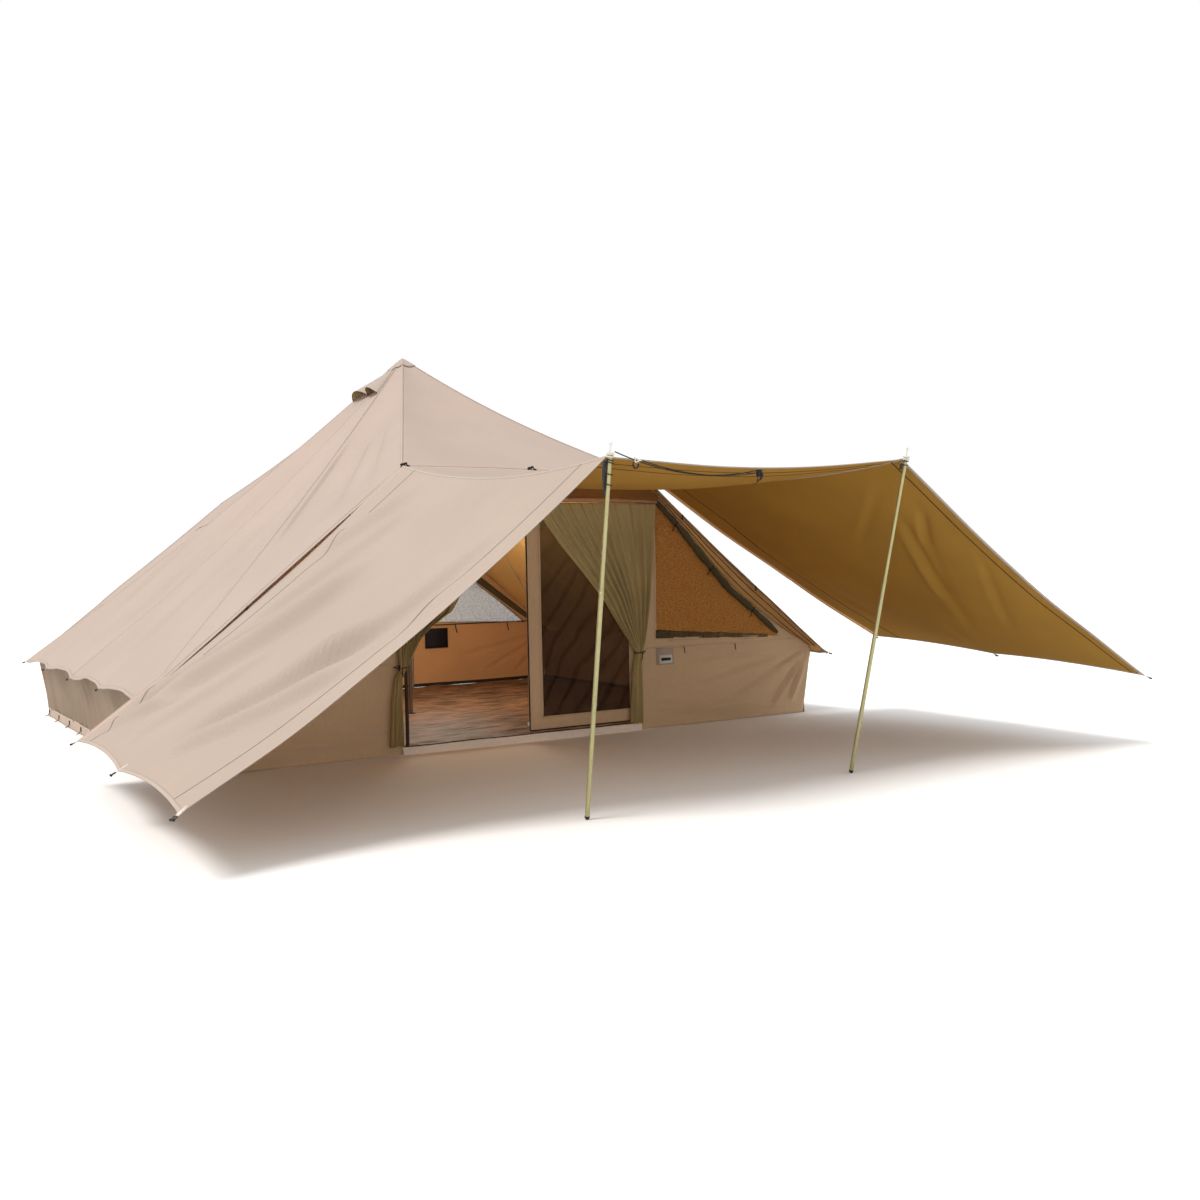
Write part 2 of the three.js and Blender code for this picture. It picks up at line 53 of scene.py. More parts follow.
POLE_FOOT = {"left": (-1.215, -5.055, 0.0143), "right": (0.850, -4.885, 0.0143)}
POLE_TOP = {"left": (-1.300, -5.480, 1.885), "right": (0.930, -5.310, 1.950)}
CANOPY_BACK = {"left": (-PORTAL_X, -2.332, 2.088), "right": (PORTAL_X, -2.332, 2.088)}
WING_BACK = {"left": (-3.260, -2.260, 0.300), "right": (3.250, -2.720, 0.668)}
WING_FRONT = {"left": (-3.340, -5.190, 0.320), "right": (3.110, -5.425, 0.500)}
CANOPY_INBOARD = np.array([0.0, 0.032, -0.008])  # canopy corner from its pole's top
SEAM_SAG = 0.100

ROPE_RADIUS = 0.003
CLIP = np.array([-0.330, -5.432, 1.832])
RUNNER = np.array([-1.144, -5.492, 1.863])


# ---------------------------------------------------------------- camera
def add_object(name, data):
    """A new object in the scene that shows this mesh, curve, lamp or camera."""
    made = bpy.data.objects.new(name, data)
    bpy.context.scene.collection.objects.link(made)
    return made


def make_camera():
    yaw, pitch, roll = 0.566, -0.028, -0.021
    ahead = Vector((math.sin(yaw) * math.cos(pitch), math.cos(yaw) * math.cos(pitch), math.sin(pitch)))
    level = Vector((math.cos(yaw), -math.sin(yaw), 0))
    above = level.cross(ahead)
    right = level * math.cos(roll) + above * math.sin(roll)
    up = above * math.cos(roll) - level * math.sin(roll)
    camera = add_object("camera", bpy.data.cameras.new("camera"))
    camera.data.sensor_width = 36.0
    camera.data.lens = 36.78
    turn = Matrix((right, up, -ahead)).transposed().to_4x4()
    camera.matrix_world = Matrix.Translation((-4.593, -10.543, 1.340)) @ turn
    bpy.context.scene.camera = camera


# ---------------------------------------------------------------- materials
def principled(name, color, roughness, metallic=0.0, specular=0.25):
    material = bpy.data.materials.new(name)
    material.use_nodes = True
    material.node_tree.nodes.clear()
    make = Nodes(material.node_tree)
    shader = make("ShaderNodeBsdfPrincipled", Base_Color=(*color, 1), Roughness=roughness, Metallic=metallic)
    if metallic == 0:
        shader.inputs["Specular IOR Level"].default_value = specular
    output = make("ShaderNodeOutputMaterial")
    make.link(shader, output, "Surface")
    return material, make, shader, output


class Nodes:
    """Makes and links the nodes of one material."""

    def __init__(self, tree):
        self.tree = tree

    def __call__(self, kind, **inputs):
        node = self.tree.nodes.new(kind)
        for key, value in inputs.items():
            node.inputs[key.replace("_", " ")].default_value = value
        return node

    def link(self, source, target, socket, out=0):
        self.tree.links.new(source.outputs[out], target.inputs[socket])

    def placed(self, node, stretch=None, turn=(0, 0, 0)):
        """Gives a texture the object's own coordinates, stretched and turned if asked."""
        source, out = self("ShaderNodeTexCoord"), "Object"
        if stretch is not None:
            mapping = self("ShaderNodeMapping", Scale=stretch, Rotation=turn)
            self.link(source, mapping, "Vector", out)
            source, out = mapping, 0
        self.link(source, node, "Vector", out)
        return node

    def noise(self, scale, detail=3.0, stretch=None, slant=0.0):
        return self.placed(self("ShaderNodeTexNoise", Scale=scale, Detail=detail), stretch, (0, slant, 0))

    def ramp(self, source, low, high, dark, light):
        node = self("ShaderNodeMapRange", From_Min=low, From_Max=high, To_Min=dark, To_Max=light)
        self.link(source, node, "Value")
        return node

    def math(self, operation, a, b, out=0):
        node = self("ShaderNodeMath")
        node.operation = operation
        self.link(a, node, 0, out)
        self.link(b, node, 1, out)
        return node

    def times(self, a, b):
        return self.math("MULTIPLY", a, b)

    def tinted(self, color, factor):
        """The colour times a factor that a node gives."""
        node = self("ShaderNodeVectorMath")
        node.operation = "SCALE"
        node.inputs[0].default_value = color
        self.link(factor, node, "Scale")
        return node

    def bump(self, source, strength, distance):
        node = self("ShaderNodeBump", Strength=strength, Distance=distance)
        self.link(source, node, "Height")
        return node

    def mixed(self, share, first, second, output):
        """Shows the first shader with a share of the second."""
        mix = self("ShaderNodeMixShader")
        mix.inputs[0].default_value = share
        self.link(first, mix, 1)
        self.link(second, mix, 2)
        self.link(mix, output, "Surface")

    def weave(self, pitch, soft):
        """Crossed threads of a plain weave, pitch apart, as a height."""
        waves = []
        for axis in ("DIAGONAL", "Z"):
            wave = self("ShaderNodeTexWave", Scale=2 * math.pi / (20 * pitch), Distortion=soft)
            wave.bands_direction = axis
            waves.append(self.placed(wave))
        return self.math("ADD", *waves, out="Fac")


def fabric(name, color, through=None, share=0.0, patchy=0.06, slub=0.05):
    """Woven canvas: threads, slubs, soft patches, and light that comes through it."""
    material, make, shader, output = principled(name, color, 0.9, specular=0.10)
    patches = make.ramp(make.noise(1.4, 4.0), 0.3, 0.7, 1 - patchy, 1 + patchy)
    slubs = make.ramp(make.noise(95.0, 2.0, (1.0, 1.0, 0.35)), 0.25, 0.75, 1 - slub, 1 + slub)
    make.link(make.tinted(color, make.times(patches, slubs)), shader, "Base Color")
    make.link(make.bump(make.weave(0.0016, 0.6), 0.18, 0.0006), shader, "Normal")
    if share > 0:
        glow = make("ShaderNodeBsdfTranslucent")
        make.link(make.tinted(through, patches), glow, "Color")
        make.mixed(share, shader, glow, output)
    return material


def creased_floor(name, color):
    """Coated groundsheet: painted highlight on its high folds and painted shade in the creases, with patches
    of wear.
    """
    material, make, shader, _ = principled(name, color, 0.62)
    long_folds = make.noise(1.0, 5.0, (2.6, 14.0, 1.0))
    short_folds = make.noise(1.0, 5.0, (8.0, 34.0, 1.0))
    worn = make.noise(1.3, 3.0)
    # the fold noise that makes the bumps also paints the shading: darker in the creases, lighter on the high
    # folds
    long_shade = make.ramp(long_folds, 0.38, 0.58, 0.42, 1.30)
    short_shade = make.ramp(short_folds, 0.36, 0.62, 0.72, 1.18)
    shade = make.times(long_shade, short_shade)
    tint = make.tinted(color, make.times(shade, make.ramp(worn, 0.35, 0.65, 0.85, 1.20)))
    make.link(tint, shader, "Base Color")
    relief = make.bump(long_folds, 0.8, 0.03)
    make.link(make.bump(short_folds, 0.6, 0.012), relief, "Normal")
    make.link(relief, shader, "Normal")
    return material


def net(name, color, cover, streaks, fold_shade_scale=0.0, slant=0.0):
    """Fine insect mesh: mostly thread, with see-through cells, crossing moiré streaks, and painted shade
    along diagonal folds if asked.
    """
    material, make, shader, output = principled(name, color, 0.85)
    fine = make.noise(60.0, 3.0, streaks, slant)
    speck = make.noise(170.0, 2.0)
    factor = make.times(make.ramp(fine, 0.3, 0.7, 0.62, 1.4), make.ramp(speck, 0.3, 0.7, 0.8, 1.2))
    if fold_shade_scale:
        # dark diagonal lines painted into the colour: painted shade of the net's folds
        wave = make("ShaderNodeTexWave", Scale=fold_shade_scale, Distortion=4.0, Detail=1.5, Detail_Scale=0.9)
        wave.bands_direction = "DIAGONAL"
        make.placed(wave, (-1.0, 1.0, 0.75))
        factor = make.times(factor, make.ramp(wave, 0.0, 0.30, 0.25, 1.1))
    make.link(make.tinted(color, factor), shader, "Base Color")
    make.mixed(cover, make("ShaderNodeBsdfTransparent"), shader, output)
    return material


def hard(name, color, roughness, metallic=0.0, grain=300.0, stretch=(1, 1, 1), vary=0.08):
    """Metal, plastic or rubber with fine grain, and roughness that varies over it."""
    material, make, shader, _ = principled(name, color, roughness, metallic)
    fine = make.noise(grain, 3.0, stretch)
    broad = make.noise(6.0, 2.0)
    factor = make.times(make.ramp(fine, 0.3, 0.7, 1 - vary, 1 + vary), make.ramp(broad, 0.3, 0.7, 0.94, 1.06))
    make.link(make.tinted(color, factor), shader, "Base Color")
    make.link(make.ramp(fine, 0.3, 0.7, roughness - 0.1, roughness + 0.1), shader, "Roughness")
    make.link(make.bump(fine, 0.12, 0.0004), shader, "Normal")
    return material


ORANGE = (0.62, 0.27, 0.075)
M = {
    "roof": fabric("roof_canvas_outside", (0.462, 0.388, 0.334), ORANGE, 0.18, patchy=0.03, slub=0.03),
    # the roof's inside face: orange painted glow of the light that comes through the canvas
    "roof_inside": fabric("roof_canvas_inside_painted_glow", (0.84, 0.54, 0.190), ORANGE, 0.30),
    "canopy": fabric("canopy_canvas_outside", (0.450, 0.375, 0.318), ORANGE, 0.18, patchy=0.03, slub=0.03),
    # the canopy's underside: golden-brown painted shade, with painted glow of the light through the canvas
    "canopy_inside": fabric("canopy_underside_painted_shade_and_glow", (0.46, 0.295, 0.066), (0.58, 0.37, 0.080), 0.50),
    "hem": fabric("canopy_hem", (0.480, 0.400, 0.340), ORANGE, 0.12, patchy=0.03),
    "hem_over": fabric("canopy_hem_doubled", (0.55, 0.47, 0.41), (0.95, 0.62, 0.34), 0.38, patchy=0.03),
    # the doubled hem's underside: bright orange painted glow of light through two layers of canvas
    "hem_under": fabric("canopy_hem_underside_painted_glow", (0.86, 0.57, 0.32), (0.86, 0.56, 0.30), 0.5),
    # front faces, door border and bindings: the roof's canvas made brighter and yellower, painted warm light
    # in the canopy's shade
    "wall": fabric("front_canvas_painted_warm_shade", (0.62, 0.46, 0.29), ORANGE, 0.12, patchy=0.07),
    "wall_back": fabric("back_wall_outside", (0.455, 0.375, 0.310), ORANGE, 0.15, patchy=0.06),
    # side walls: a darker copy of the canvas, painted shade
    "wall_side": fabric("side_wall_painted_shade", (0.262, 0.202, 0.147), ORANGE, 0.10, patchy=0.12, slub=0.08),
    # inside faces of the walls, lintel, door border and sill: orange painted glow of the light through the
    # canvas
    "wall_inside": fabric("wall_canvas_inside_painted_glow", (0.60, 0.36, 0.18), ORANGE, 0.30),
    "skirt": fabric("skirt_canvas", (0.44, 0.35, 0.28), patchy=0.08),
    "sill": fabric("sill_canvas", (0.86, 0.76, 0.66), patchy=0.10),
    # door cloth: the canvas darkened and yellowed, painted shade in the doorway
    "curtain": fabric("door_cloth", (0.42, 0.325, 0.150), patchy=0.12),
    "seam": fabric("roof_seam", (0.445, 0.372, 0.318), ORANGE, 0.10, patchy=0.03),
    "stitch": fabric("stitched_line", (0.270, 0.215, 0.175), patchy=0.05),
    "seam_dark": fabric("seam_in_shade", (0.075, 0.042, 0.018), patchy=0.03),
    # the lintel under the canopy: golden-brown painted shade
    "lintel": fabric("lintel_canvas_painted_shade", (0.250, 0.115, 0.033), ORANGE, 0.12, patchy=0.08),
    "flap": fabric("edge_flap", (0.56, 0.315, 0.120), ORANGE, 0.25, patchy=0.08),
    "roll": fabric("window_cover", (0.075, 0.058, 0.028), patchy=0.2),
    "window_band": fabric("window_band", (0.115, 0.080, 0.040), patchy=0.35, slub=0.5),
    "floor": creased_floor("groundsheet_cloth", (0.142, 0.077, 0.042)),
    "window_net": net("window_mesh", (0.44, 0.20, 0.045), 0.80, (0.8, 0.8, 3.2), slant=-0.72),
    "back_net": net("back_window_mesh", (0.34, 0.36, 0.38), 0.60, (1, 1, 1)),
    "door_net": net("door_mesh", (0.045, 0.022, 0.013), 0.70, (3, 3, 3), fold_shade_scale=3.2),
    "steel": hard("pole_steel", (0.405, 0.375, 0.190), 0.36, 0.75, 40.0, (3, 3, 0.4)),
    "inner_steel": hard("frame_steel", (0.30, 0.29, 0.27), 0.40, 0.8, 40.0, (3, 3, 0.4)),
    "zinc": hard("zinc_plate", (0.66, 0.66, 0.63), 0.28, 0.9, 200.0),
    "black": hard("black_plastic", (0.014, 0.014, 0.015), 0.5, 0.0, 160.0),
    "rubber": hard("foot_rubber", (0.018, 0.018, 0.017), 0.8, 0.0, 220.0),
    "webbing": hard("webbing_tape", (0.020, 0.019, 0.017), 0.8, 0.0, 500.0, (1, 1, 1), 0.25),
    "pale_webbing": hard("pale_webbing", (0.60, 0.54, 0.47), 0.85, 0.0, 500.0, (1, 1, 1), 0.12),
    "strap": hard("pole_strap", (0.034, 0.037, 0.046), 0.8, 0.0, 400.0, (1, 1, 1), 0.2),
    "rope": hard("braided_rope", (0.022, 0.020, 0.017), 0.85, 0.0, 700.0, (1, 1, 1), 0.5),
    "frame_dark": hard("sleeved_frame", (0.045, 0.032, 0.022), 0.7),
    "label": hard("label_patch", (0.62, 0.60, 0.56), 0.6),
    "cable_port": hard("cable_port_flap", (0.010, 0.010, 0.013), 0.8),
}


# ---------------------------------------------------------------- numbers for cloth
def cloth_noise(x, y, seed):
    """Smooth noise from -1 to 1 with one bump for each unit of x and y."""
    size = 64
    table = np.random.RandomState(seed).uniform(-1, 1, (size, size))
    x0, y0 = np.floor(x).astype(int), np.floor(y).astype(int)
    fx, fy = x - x0, y - y0
    fx, fy = fx * fx * (3 - 2 * fx), fy * fy * (3 - 2 * fy)
    low = table[x0 % size, y0 % size] * (1 - fx) + table[(x0 + 1) % size, y0 % size] * fx
    high = table[x0 % size, (y0 + 1) % size] * (1 - fx) + table[(x0 + 1) % size, (y0 + 1) % size] * fx
    return low * (1 - fy) + high * fy


def ease(t):
    t = np.clip(t, 0, 1)
    return t * t * (3 - 2 * t)


def crease(x, y, start, end, width, height, fade=0.3):
    """A fold along the line from start to end: a ridge with a shallow valley beside it."""
    start, end = np.array(start, float), np.array(end, float)
    along = end - start
    length = math.hypot(*along)
    t = ((x - start[0]) * along[0] + (y - start[1]) * along[1]) / length**2
    off = ((x - start[0]) * along[1] - (y - start[1]) * along[0]) / length
    here = ease(t / fade) * ease((1 - t) / fade)
    shape = np.exp(-(off / width) ** 2) - 0.55 * np.exp(-((off - 1.5 * width) / width) ** 2)
    return height * here * shape


def straight(a, b, count):
    """Points spaced evenly along a line."""
    t = np.linspace(0, 1, count)[:, None]
    return np.array(a) * (1 - t) + np.array(b) * t


def by_length(points, shares):
    """Points at these shares of a path's length."""
    points = np.array(points)
    along = np.concatenate([[0], np.cumsum(np.linalg.norm(np.diff(points, axis=0), axis=1))])
    return np.stack([np.interp(shares * along[-1], along, column) for column in points.T], axis=1)


def unit(vector):
    vector = np.array(vector, float)
    return vector / np.linalg.norm(vector)


# ---------------------------------------------------------------- mesh tools
def make_piece(name, verts, faces, materials, body="tent", face_materials=None):
    mesh = bpy.data.meshes.new(name)
    mesh.from_pydata([tuple(map(float, v)) for v in verts], [], [tuple(map(int, f)) for f in faces])
    for material in materials:
        mesh.materials.append(M[material])
    if face_materials is not None:
        mesh.polygons.foreach_set("material_index", face_materials)
    mesh.shade_smooth()
    mesh.update()
    piece = add_object(name, mesh)
    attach(piece, body)
    return piece


def thicken(piece, thickness=CLOTH):
    """Gives a cloth its two faces; the inside face takes the piece's second material."""
    solid = piece.modifiers.new("thickness", "SOLIDIFY")
    solid.thickness = thickness
    solid.offset = 0
    if len(piece.data.materials) > 1:
        solid.material_offset = 1
    return piece


def grid_faces(rows, columns, loop=False):
    wide = columns if loop else columns - 1
    faces = []
    for i in range(rows - 1):
        for j in range(wide):
            k = (j + 1) % columns
            faces.append((i * columns + j, i * columns + k, (i + 1) * columns + k, (i + 1) * columns + j))
    return faces


def grid_cloth(name, points, materials, flip=False, thickness=CLOTH):
    """A cloth from points[row, column]."""
    faces = grid_faces(*points.shape[:2])
    if flip:
        faces = [f[::-1] for f in faces]
    return thicken(make_piece(name, points.reshape(-1, 3), faces, materials), thickness)


def cone_cloth(name, tip, points, materials, thickness=CLOTH):
    """A cloth from its tip and rings of points below it, points[ring, place]."""
    width = points.shape[1]
    faces = [(0, 1 + j, 1 + (j + 1) % width) for j in range(width)]
    faces += [tuple(1 + i for i in f[::-1]) for f in grid_faces(*points.shape[:2], loop=True)]
    piece = make_piece(name, [tip, *points.reshape(-1, 3)], faces, materials)
    return thicken(piece, thickness)


def inside_outline(p, outline):
    x, y = p
    inside = False
    for (x0, y0), (x1, y1) in zip(outline, outline[1:] + outline[:1]):
        if (y0 > y) != (y1 > y) and x < (x1 - x0) * (y - y0) / (y1 - y0) + x0:
            inside = not inside
    return inside


def edge_points(outline, step):
    points = []
    for a, b in zip(outline, outline[1:] + outline[:1]):
        count = max(1, round(math.dist(a, b) / step))
        points += [(a[0] + (b[0] - a[0]) * i / count, a[1] + (b[1] - a[1]) * i / count) for i in range(count)]
    return points


def edge_distance(points, outline):
    best = np.full(len(points), 1e9)
    for a, b in zip(outline, outline[1:] + outline[:1]):
        a, b = np.array(a), np.array(b)
        t = np.clip((points - a) @ (b - a) / ((b - a) @ (b - a)), 0, 1)
        best = np.minimum(best, np.linalg.norm(points - (a + t[:, None] * (b - a)), axis=1))
    return best


def flat_pattern(outline, holes, step):
    """Triangles that fill an outline, clear of its holes: 2-D points and faces."""
    verts, edges = [], []
    for loop in [outline, *holes]:
        points = edge_points(loop, step)
        first = len(verts)
        verts += points
        edges += [(first + i, first + (i + 1) % len(points)) for i in range(len(points))]
    low, high = np.min(outline, axis=0), np.max(outline, axis=0)
    xs = np.arange(low[0] + step / 2, high[0], step)
    ys = np.arange(low[1] + step / 2, high[1], step)
    inner = np.array([(x + (j % 2) * step / 2, y) for j, y in enumerate(ys) for x in xs])
    keep = np.array([inside_outline(p, outline) for p in inner])
    for hole in holes:
        keep &= ~np.array([inside_outline(p, hole) for p in inner])
    for loop in [outline, *holes]:
        keep &= edge_distance(inner, loop) > 0.45 * step
    verts += [tuple(p) for p in inner[keep]]
    made, _, faces, *_ = delaunay_2d_cdt([Vector(v) for v in verts], edges, [], 0, 1e-6)
    made = np.array([tuple(v) for v in made])
    kept = []
    for face in faces:
        centre = made[list(face)].mean(axis=0)
        if inside_outline(centre, outline) and not any(inside_outline(centre, h) for h in holes):
            kept.append(tuple(face))
    return made, kept


def pattern_cloth(name, outline, holes, step, place, materials,
                  body="tent", thickness=CLOTH):
    """A cloth cut to an outline; place turns its flat points x, z into points in space."""
    flat, faces = flat_pattern(outline, holes, step)
    points = place(flat[:, 0], flat[:, 1])
    return thicken(make_piece(name, points, faces, materials, body), thickness)


class Parts:
    """Collects many small solids into one piece, each with its own material."""

    def __init__(self):
        self.verts, self.faces, self.kinds, self.names = [], [], [], []

    def add(self, rings, material, closed=False):
        """A solid from rings of points along a path, joined end to end if closed."""
        count, sides = rings.shape[:2]
        faces = []
        for i in range(count if closed else count - 1):
            n = (i + 1) % count
            for j in range(sides):
                k = (j + 1) % sides
                faces.append((i * sides + j, i * sides + k, n * sides + k, n * sides + j))
        if not closed:
            faces.append(tuple(range(sides))[::-1])
            faces.append(tuple((count - 1) * sides + j for j in range(sides)))
        first = len(self.verts)
        self.verts += [tuple(v) for v in rings.reshape(-1, 3)]
        self.faces += [tuple(first + i for i in f[::-1]) for f in faces]
        if material not in self.names:
            self.names.append(material)
        self.kinds += [self.names.index(material)] * len(faces)

    def tube(self, path, radius, material, sides=8, flat=1.0, normal=(0, 0, 1), closed=False):
        """A round or flattened bar along a path; flat scales its thickness against its width."""
        path = np.array(path, float)
        count = len(path)
        if closed:
            tangents = np.roll(path, -1, 0) - np.roll(path, 1, 0)
        else:
            tangents = np.gradient(path, axis=0)
        tangents /= np.linalg.norm(tangents, axis=1)[:, None]
        radii = np.broadcast_to(np.asarray(radius, float), (count,))
        ups = np.broadcast_to(np.array(normal, float), (count, 3))
        across = np.cross(tangents, ups)
        short = np.linalg.norm(across, axis=1) < 1e-3
        across[short] = np.cross(tangents[short], (0, 1, 0.1))
        across /= np.linalg.norm(across, axis=1)[:, None]
        up = np.cross(across, tangents)
        angles = np.arange(sides) / sides * 2 * math.pi + math.pi / sides
        turns, rises = np.cos(angles)[None, :, None], np.sin(angles)[None, :, None]
        ring = turns * across[:, None] + flat * rises * up[:, None]
        self.add(path[:, None] + radii[:, None, None] * ring, material, closed)

    def band(self, path, normals, width, thick, material):
        """A flat strip that follows a path on a surface; normals is one normal, or one for each point."""
        path = np.array(path, float)
        normals = np.broadcast_to(np.array(normals, float), path.shape)
        across = np.cross(np.gradient(path, axis=0), normals)
        across /= np.linalg.norm(across, axis=1)[:, None]
        normals = normals / np.linalg.norm(normals, axis=1)[:, None]
        edges = [path + across * width / 2 * a + normals * thick / 2 * b
                 for a, b in ((-1, -1), (1, -1), (1, 1), (-1, 1))]
        self.add(np.stack(edges, axis=1), material)

    def toggle(self, centre, along, length=0.045, radius=0.0085):
        """A turned barrel toggle with rounded ends and a waist for its cord."""
        half = [(0.5, 0.35), (0.44, 0.8), (0.3, 1.0), (0.1, 0.95)]
        stations = [(-t, r) for t, r in half] + [(0, 0.75)] + half[::-1]
        path = [np.array(centre, float) + unit(along) * length * t for t, _ in stations]
        self.tube(path, [radius * r for _, r in stations], "black", 10)

    def loop(self, centre, first, second, material="webbing", thick=0.0028, count=16):
        """A closed loop of cord or wire; first and second are its two half axes."""
        centre, first, second = (np.array(v, float) for v in (centre, first, second))
        angles = np.arange(count) / count * 2 * math.pi
        path = centre + np.cos(angles)[:, None] * first + np.sin(angles)[:, None] * second
        self.tube(path, thick, material, 6, normal=np.cross(first, second), closed=True)

    def strap(self, points, radius=0.0045, normal=(0, 0, 1), material="webbing", flat=0.4):
        """A short flat tie."""
        self.tube(points, radius, material, 8, flat=flat, normal=normal)

    def piece(self, name, slot, body="tent"):
        return make_piece(name, self.verts, self.faces, self.names, body, self.kinds)


# ---------------------------------------------------------------- roof
HIPS = np.array([
    (-PORTAL_X, -PORTAL_Y, PORTAL_Z), (PORTAL_X, -PORTAL_Y, PORTAL_Z),
    (EAVE_X, -EAVE_Y, EAVE_Z), (EAVE_X, EAVE_Y, EAVE_Z),
    (PORTAL_X, PORTAL_Y, PORTAL_Z), (-PORTAL_X, PORTAL_Y, PORTAL_Z),
    (-EAVE_X, EAVE_Y, EAVE_Z), (-EAVE_X, -EAVE_Y, EAVE_Z),
])
FACET_STEPS = [36, 60, 128, 60, 36, 60, 128, 60]
EAVE_SPANS = 4                                  # scallops between toggles on each side eave


def roof_point(facet, t, r):
    """A point of the roof: t from 0 to 1 across a panel, r from the peak, 0, to its lower edge, 1."""
    t, r = np.broadcast_arrays(np.asarray(t, float), np.asarray(r, float))
    first, second = HIPS[facet], HIPS[(facet + 1) % 8]
    edge = first + (second - first) * t[..., None]
    slant = np.linalg.norm(edge - PEAK, axis=-1)
    arch = np.zeros_like(t)
    if facet in (2, 6):
        span = np.abs(np.sin(np.pi * EAVE_SPANS * t)) ** 0.75
        arch = 0.072 * span * r**14
    elif facet in (1, 3, 5, 7):
        arch = (0.030 if facet == 7 else 0.065) * np.sin(np.pi * t) * r**5
    reach = r * (1 - arch / slant)
    point = PEAK + reach[..., None] * (edge - PEAK)
    across = (t - 0.5) * np.linalg.norm(second - first) * r
    down = r * slant
    hip = 0.075 * np.sin(np.pi * r**0.9)
    belly = np.sin(np.pi * t) * 0.045 * np.sin(np.pi * r**0.9)
    if facet in (2, 6):
        seed = 11 + facet
        fan = t * 22.0
        ripple = 0.010 * cloth_noise(fan, r * 1.6, seed) * r * ease((1 - np.abs(2 * t - 1)) / 0.12)
        ripple = ripple + 0.006 * cloth_noise(t * 9.0, r * 3.0, seed + 1) * r
        for k in range(EAVE_SPANS + 1):
            at = k / EAVE_SPANS
            near = np.exp(-((t - at) * 4.9 / (0.05 + 0.26 * (1 - r))) ** 2)
            ripple = ripple + 0.020 * near * ease((r - 0.72) / 0.24)
        for at, lean, height in ((0.10, 0.30, 0.026), (0.25, 0.20, 0.020), (0.42, 0.10, 0.014),
                                 (0.66, -0.10, 0.020), (0.86, -0.26, 0.026), (0.93, -0.10, 0.024)):
            top, foot = ((at - 0.5 - lean) * 3.0, 1.4), ((at - 0.5) * 4.9, 3.95)
            ripple = ripple + crease(across, down, top, foot, 0.055, 1.5 * height)
    elif facet in (1, 3, 5, 7):
        ripple = 0.008 * cloth_noise(t * 7.0, r * 2.2, 31 + facet) * r * ease(np.minimum(t, 1 - t) / 0.2)
        for at in (0.25, 0.6, 0.8):
            top, foot = (at - 0.5, 1.2), ((at - 0.5) * 2.6, 3.1)
            ripple = ripple + crease(across, down, top, foot, 0.040, 0.020)
    else:
        ripple = 0.006 * cloth_noise(t * 4.0, r * 2.5, 41 + facet) * r * ease(np.minimum(t, 1 - t) / 0.25)
    tip = 0.010 * np.exp(-(r / 0.010) ** 2)
    point[..., 2] += -hip - belly + ripple - tip
    return point


def roof_normal(facet):
    return unit(np.cross(HIPS[facet] - PEAK, HIPS[(facet + 1) % 8] - PEAK))


def make_roof():
    ring_r = np.linspace(0, 1, 85)[1:] ** 1.05
    columns = [roof_point(facet, (np.arange(steps) / steps)[None, :], ring_r[:, None])
               for facet, steps in enumerate(FACET_STEPS)]
    roof = cone_cloth("roof", PEAK - (0, 0, 0.010), np.concatenate(columns, axis=1), ["roof", "roof_inside"])
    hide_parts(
        "roof_front", "roof_front_right", "roof_right", "roof_back_right",
        "roof_back", "roof_back_left", "roof_left", "roof_front_left",
    )
    trim = Parts()
    down = np.linspace(0.035, 0.999, 90)
    for hip in range(8):                         # the seams down the hips
        normal = roof_normal(hip) + roof_normal((hip - 1) % 8)
        trim.band(roof_point(hip, 0.0, down), normal, 0.016, 0.006, "seam")
    for facet in (2, 6):                         # and down the middle of the side panels
        trim.band(roof_point(facet, 0.5, down), roof_normal(facet), 0.014, 0.005, "seam")
    for facet, steps in enumerate(FACET_STEPS):  # hem, and the stitched line that runs inside it
        t = np.linspace(0, 1, steps + 1)
        trim.band(roof_point(facet, t, 0.9965), roof_normal(facet), 0.022, 0.006, "seam")
        if facet in (1, 3, 5, 7):
            trim.band(roof_point(facet, t, 0.972), roof_normal(facet), 0.006, 0.005, "stitch")
    seams = trim.piece("roof_seams", "roof_canvas")


def make_peak_cap():
    """A doubled cloth cap, sewn over the peak with a straight lower edge."""
    rows = np.linspace(0.0, 1.0, 9)[1:]
    reach = 0.165
    columns = []
    for facet, steps in enumerate(FACET_STEPS):
        t = np.arange(0, steps, 4) / steps
        first, second = HIPS[facet], HIPS[(facet + 1) % 8]
        edge = first + (second - first) * t[:, None]
        slant = np.linalg.norm(edge - PEAK, axis=1)
        r = rows[:, None] * (reach / slant)[None, :]
        columns.append(roof_point(facet, t[None, :], r) + roof_normal(facet) * 0.004 + (0, 0, 0.002))
    points = np.concatenate(columns, axis=1)
    cap = cone_cloth("cap_cloth", PEAK - (0, 0, 0.002), points, ["roof", "roof"], 0.003)
    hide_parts("peak_cap")
    trim = Parts()
    for ring, material, radius in ((-1, "stitch", 0.003), (-2, "seam", 0.002)):
        trim.tube(points[ring] + (0, 0, 0.002), radius, material, 6, closed=True)
    stitched = trim.piece("cap_stitching", "roof_canvas")


